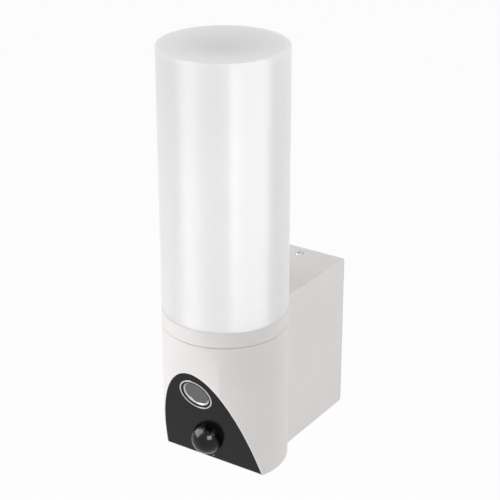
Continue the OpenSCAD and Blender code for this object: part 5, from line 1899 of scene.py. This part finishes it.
        form.piece("bent_wall_bracket", FINISH.steel, ["wall_bracket"], slot="steel")

    def grommets(self) -> None:
        """Turns the cable grommet on the wall and the lead grommet behind the saddle."""
        bore, nozzle, neck, flange = self.cable
        wall, plate = LAYOUT.reach, LAYOUT.reach - self.sheet
        face = plate - 1.5
        section = [(bore, face - 6.0, 0.3), (nozzle - 0.5, face - 6.0, 0.3)]
        for k in range(3):
            section += [(nozzle, face - 5.0 + 1.5 * k, 0.2), (nozzle - 0.5, face - 4.2 + 1.5 * k, 0.2)]
        section += [
            (nozzle, face, 0.2),
            (flange, face, 0.5),
            (flange, plate, 0.2),
            (neck, plate, 0.0),
            (neck, wall, 0.4),
            (bore, wall, 0.4),
        ]
        form = along_y(Form.turned(rounded(section), 96)).at(0.0, 0.0, LAYOUT.box_h / 2)
        form.on_pillar()
        form.piece("ribbed_cable_grommet", FINISH.rubber, ["cable_grommet"], slot="rubber")
        saddle_back = self.saddle_r + self.wall
        bore, neck, flange = self.bush
        section = [
            (bore, 36.0, 0.4),
            (neck, 36.0, 0.6),
            (neck, saddle_back, 0.0),
            (flange, saddle_back, 0.3),
            (flange, saddle_back + 1.5, 0.5),
            (bore, saddle_back + 1.5, 0.4),
        ]
        form = along_y(Form.turned(rounded(section), 64)).at(0.0, 0.0, LAYOUT.passage[1])
        form.on_pillar().piece("lead_bush", FINISH.rubber, ["lead_grommet"], slot="rubber")

    def locking(self, screw: Body, washer: Body, side: str) -> None:
        """Makes a locking screw with its thread and socket, and its rubber washer.

        Args:
            screw: Body of the screw.
            washer: Body of the washer.
            side: Which end of the box it sits in.
        """
        thread, pitch, length, head_r, head_h = self.screw
        top = side == "top"
        flip = Matrix.Identity(4) if top else Matrix.Rotation(math.pi, 4, "X")
        end = Matrix.Translation((0.0, self.lock_y, LAYOUT.box_h if top else 0.0))
        place = LAYOUT.pillar() @ end @ flip
        head = [(thread, -head_h), (head_r - 0.1, -head_h), (head_r, 0.1 - head_h), (head_r, -0.25)]
        head += [(head_r - 0.1, -0.08), (head_r - 0.3, 0.0), (0.0, 0.0)]
        form = Form.threaded(thread, pitch, -head_h - length, head)
        form.cut(Form.plate(circle(head_r / 2, steps=6), -head_h / 2, 1.0)).placed(place)
        form.piece(f"socket_screw_{side}", FINISH.steel, [f"locking_screw_{side}"], screw, "steel")
        bore, low, high = self.washer
        section = [(bore, low, 0.1), (head_r, low, 0.15), (head_r, high, 0.15), (bore, high, 0.1)]
        ring = Form.turned(rounded(section), 48).placed(place)
        ring.piece(f"rubber_washer_{side}", FINISH.rubber, [f"lock_washer_{side}"], washer, "rubber")


@dataclass
class PowerSupply(SubAssembly):
    """The driver board in the wall box, with its transformer, capacitors and choke.

    Attributes:
        face: Distance of the board's rear face behind the pillar's axis.
        middle: Height of the board's middle.
        core: Width, depth and height of the transformer's core.
        bobbin: Width, depth and height of its winding.
        can: Radius and length of a capacitor.
        can_at: Sideways distance and height of the capacitors.
        coil: Middle radius, section radius and height of the choke.
        wire_r: Radius of the choke's wire.
        turns: Turns of the choke's winding.
        per_turn: Points of the wire's path in each turn.
    """

    face: float = 53.75
    middle: float = 38.0
    core: Spot = (20.0, 14.0, 18.0)
    bobbin: Spot = (12.0, 11.2, 23.4)
    can: Point = (5.0, 15.0)
    can_at: Point = (7.0, 18.0)
    coil: Spot = (4.5, 2.5, 61.0)
    wire_r: float = 0.36
    turns: int = 26
    per_turn: int = 14

    def build(self) -> None:
        """Builds and dresses the supply's pieces."""
        self.transformer()
        self.capacitors()
        self.choke()
        self.dress(FINISH.board, "driver_board")
        self.dress(FINISH.steel, "driver_screws")

    def transformer(self) -> None:
        """Makes the split ferrite core and the taped winding through it."""
        width, depth, height = self.core
        halves = [
            Form.block((-width / 2, 0.0, -height / 2), (-0.1, depth, height / 2)).eased(0.5),
            Form.block((0.1, 0.0, -height / 2), (width / 2, depth, height / 2)).eased(0.5),
        ]
        place = LAYOUT.pillar() @ Matrix.Translation((0.0, self.face, self.middle))
        core = halves[0].with_loose(halves[1:]).placed(place)
        core.piece("ferrite_core", FINISH.ferrite, ["transformer"], slot="winding")
        half, deep, tall = self.bobbin[0] / 2, self.bobbin[1], self.bobbin[2] / 2
        ends = []
        for side in (-1, 1):
            low, high = sorted((side * (height / 2 + 0.1), side * tall))
            wound = rounded(box_corners(2 * half, deep, 2.0, (0.0, deep / 2)), 6)
            ends.append(Form.plate(wound, low, high, (), 0.5))
        winding = ends[0].with_loose(ends[1:]).placed(place)
        winding.piece("taped_winding", FINISH.tape, slot="winding")

    def capacitors(self) -> None:
        """Turns the two capacitor cans with their rolled groove and scored top."""
        radius, length = self.can
        section = rounded(
            [
                (0.0, 0.0, 0.0),
                (radius - 0.3, 0.0, 0.3),
                (radius - 0.3, 1.2, 0.3),
                (radius - 0.7, 1.9, 0.3),
                (radius, 2.6, 0.4),
                (radius, length - 0.1, 0.6),
                (radius - 1.0, length, 0.2),
                (radius - 1.3, length - 0.3, 0.1),
                (0.0, length - 0.3, 0.0),
            ]
        )
        cans = []
        for side in (-1, 1):
            scores = []
            for angle in (0, 60, 120):
                score = Form.block((-3.0, -0.15, length - 0.5), (3.0, 0.15, length + 1.0))
                scores.append(score.placed(Matrix.Rotation(math.radians(angle), 4, "Z")))
            made = along_y(Form.turned(section, 48).cut(*scores))
            cans.append(made.at(side * self.can_at[0], self.face, self.can_at[1]))
        form = cans[0].with_loose(cans[1:]).on_pillar()
        form.piece("capacitor_cans", FINISH.sleeve, ["capacitors"], slot="electronics")

    def choke(self) -> None:
        """Winds the choke's wire round its ring core."""
        middle, radius, height = self.coil
        place = LAYOUT.pillar() @ Matrix.Translation((0.0, self.face + radius, height))
        reach = radius - self.wire_r
        core = along_y(Form.turned(circle(reach - self.wire_r, (middle, 0.0), 24), 64)).placed(place)
        core.piece("choke_core", FINISH.ferrite, ["choke"], slot="winding")
        steps = self.per_turn * self.turns
        path = []
        for i in range(steps):
            wind, around = 2 * math.pi * i / self.per_turn, 2 * math.pi * i / steps
            out = middle + reach * math.cos(wind)
            path.append((out * math.cos(around), reach * math.sin(wind), out * math.sin(around)))
        wire = Form.hoop(path, self.wire_r).placed(place)
        wire.piece("choke_winding", FINISH.copper, slot="winding")


@dataclass(frozen=True)
class Lamp:
    """A soft area lamp that faces the part.

    Attributes:
        name: Name of the lamp.
        kind: What it does.
        azimuth: Direction from the pillar, in degrees; 0 is straight in front.
        distance: Distance from the pillar, in metres.
        height: Height of its middle, in metres.
        size: Width and height, in metres.
        power: Power, in watts.
        aim_z: Height of the point on the pillar's axis that it faces, in metres.
    """

    name: str
    kind: Light
    azimuth: float
    distance: float
    height: float
    size: Point
    power: float
    aim_z: float = 0.08

    def hang(self) -> None:
        """Hangs the lamp; one that hangs lower than the frame's origin faces level."""
        data = bpy.data.lights.new(self.name, "AREA")
        data.shape = "RECTANGLE"
        data.size, data.size_y = self.size
        data.energy = self.power
        made = bpy.data.objects.new(self.name, data)
        angle = math.radians(self.azimuth)
        middle = Vector((0.0, -LAYOUT.reach * MM, self.aim_z))
        level = Vector((math.sin(angle), -math.cos(angle), 0.0)) * self.distance
        made.location = Vector((middle.x, middle.y, 0.0)) + level + Vector((0.0, 0.0, self.height))
        face = middle - made.location
        if self.height < 0.0:
            face.z = 0.0
        made.rotation_euler = face.to_track_quat("-Z", "Y").to_euler()
        made.visible_camera = False
        made.visible_diffuse = self.kind is Light.FILL
        made.visible_glossy = self.kind is not Light.FILL
        if self.kind is not Light.FILL:
            made.light_linking.receiver_collection = self.shown_in(self.kind)
        bpy.context.scene.collection.objects.link(made)

    @staticmethod
    def shown_in(kind: Light) -> bpy.types.Collection:
        """Gives the collection that keeps strips to the diffuser and other shines off it."""
        made = bpy.data.collections.get(kind.name)
        if made is None:
            made = bpy.data.collections.new(kind.name)
            made.objects.link(bpy.data.objects[DIFFUSER])
            state = "INCLUDE" if kind is Light.STRIP else "EXCLUDE"
            made.collection_objects[0].light_linking.link_state = state
        return made


@dataclass(frozen=True)
class Studio:
    """Floor, backdrop light, lamps and the camera of the photograph.

    Attributes:
        floor_z: Height of the floor, in metres.
        floor_size: Width of the floor, in metres.
        floor_tone: Colour of the floor where it takes the part's shadow.
        floor_glow: Share of plain white in what is seen of the floor.
        ambient: Level of the light from all round.
        eye: Place of the camera, in metres.
        aim: Point that the camera looks at, in metres.
        focal_px: Focal length in pixels of the image.
        image_px: Width of the image in pixels.
        lamps: The lamps.
    """

    floor_z: float = -0.2
    floor_size: float = 12.0
    floor_tone: Rgba = grey(244)
    floor_glow: float = 0.95
    ambient: float = 0.47
    eye: Spot = (0.47327, -0.78305, 0.45736)
    aim: Spot = (0.01291, -0.08894, 0.08853)
    focal_px: float = 1476.56
    image_px: float = 500.0
    lamps: tuple[Lamp, ...] = (
        Lamp("left_fill", Light.FILL, -22.0, 0.45, -0.1, (0.5, 0.18), 0.9),
        Lamp("right_fill", Light.FILL, 120.0, 0.7, 0.45, (0.4, 0.6), 2.0),
        Lamp("top_fill", Light.FILL, -50.0, 0.6, 0.9, (0.7, 0.7), 2.0),
        Lamp("left_box", Light.SHINE, -63.0, 0.8, 0.57, (1.0, 1.0), 22.0),
        Lamp("right_box", Light.SHINE, 50.0, 0.8, 0.39, (0.5, 0.4), 7.0),
        Lamp("left_strip", Light.STRIP, -24.0, 0.4, -0.02, (0.26, 0.36), 2.3),
        Lamp("front_strip", Light.STRIP, 26.0, 0.4, -0.02, (0.46, 0.36), 2.7),
        Lamp("right_strip", Light.STRIP, 80.0, 0.4, -0.02, (0.56, 0.36), 5.9),
    )

    def build(self) -> None:
        """Sets up the whole studio."""
        bpy.context.scene.view_settings.view_transform = "Standard"
        self.camera()
        self.world()
        self.floor()
        for lamp in self.lamps:
            lamp.hang()

    def camera(self) -> None:
        """Places the camera of the photograph."""
        data = bpy.data.cameras.new("photo_camera")
        data.sensor_width = 36.0
        data.lens = data.sensor_width * self.focal_px / self.image_px
        data.clip_start = 0.01
        data.clip_end = 50.0
        made = bpy.data.objects.new("photo_camera", data)
        made.location = self.eye
        made.rotation_euler = (Vector(self.aim) - Vector(self.eye)).to_track_quat("-Z", "Y").to_euler()
        bpy.context.scene.collection.objects.link(made)
        bpy.context.scene.camera = made

    @staticmethod
    def seen(desk: Desk) -> Socket:
        """Gives 1 for rays that look at the surroundings, straight or by way of gloss or glass."""
        path = desk.node("ShaderNodeLightPath").outputs
        looks = desk.math("MAXIMUM", path["Is Camera Ray"], path["Is Glossy Ray"])
        return desk.math("MAXIMUM", looks, path["Is Transmission Ray"])

    @staticmethod
    def blend(desk: Desk, share: Socket, first: Node, second: Node) -> Node:
        """Mixes two shaders and gives the mix."""
        return desk.node("ShaderNodeMixShader", {0: share, 1: first.outputs[0], 2: second.outputs[0]})

    def world(self) -> None:
        """Sets even light from all round, on a white ground."""
        world = bpy.data.worlds.new("studio")
        desk = Desk.of(world)
        even = desk.node("ShaderNodeBackground", {"Color": grey(255), "Strength": self.ambient})
        plain = desk.node("ShaderNodeBackground", {"Color": grey(255), "Strength": 1.0})
        both = self.blend(desk, self.seen(desk), even, plain)
        desk.node("ShaderNodeOutputWorld", {"Surface": both.outputs[0]})
        bpy.context.scene.world = world

    def floor(self) -> None:
        """Lays the pale floor, which keeps the shadow and can be looked through from below."""
        mesh = bmesh.new()
        bmesh.ops.create_grid(mesh, x_segments=8, y_segments=8, size=self.floor_size / 2)
        data = bpy.data.meshes.new("floor")
        mesh.to_mesh(data)
        mesh.free()
        made = bpy.data.objects.new("floor", data)
        made.location = (0.0, 0.0, self.floor_z)
        bpy.context.scene.collection.objects.link(made)
        pale = bpy.data.materials.new("pale_floor")
        desk = Desk.of(pale)
        ground = desk.node("ShaderNodeBsdfDiffuse", {"Color": self.floor_tone})
        white = desk.node("ShaderNodeEmission", {"Color": grey(255), "Strength": 1.0})
        lit = self.blend(desk, desk.math("MULTIPLY", self.seen(desk), self.floor_glow), ground, white)
        under = desk.node("ShaderNodeNewGeometry").outputs["Backfacing"]
        both = self.blend(desk, under, lit, desk.node("ShaderNodeBsdfTransparent"))
        desk.node("ShaderNodeOutputMaterial", {"Surface": both.outputs[0]})
        data.materials.append(pale)


def main() -> None:
    """Builds the lamp's pieces in order, then the studio."""
    logging.basicConfig(level=logging.INFO, format="%(message)s")
    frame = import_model()
    for kind in (LampHead, LowerHousing, FrontPanel, ServiceBay, WallBox, PowerSupply):
        kind(frame["nodes"]).build()
    Studio().build()


if __name__ == "__main__":
    main()
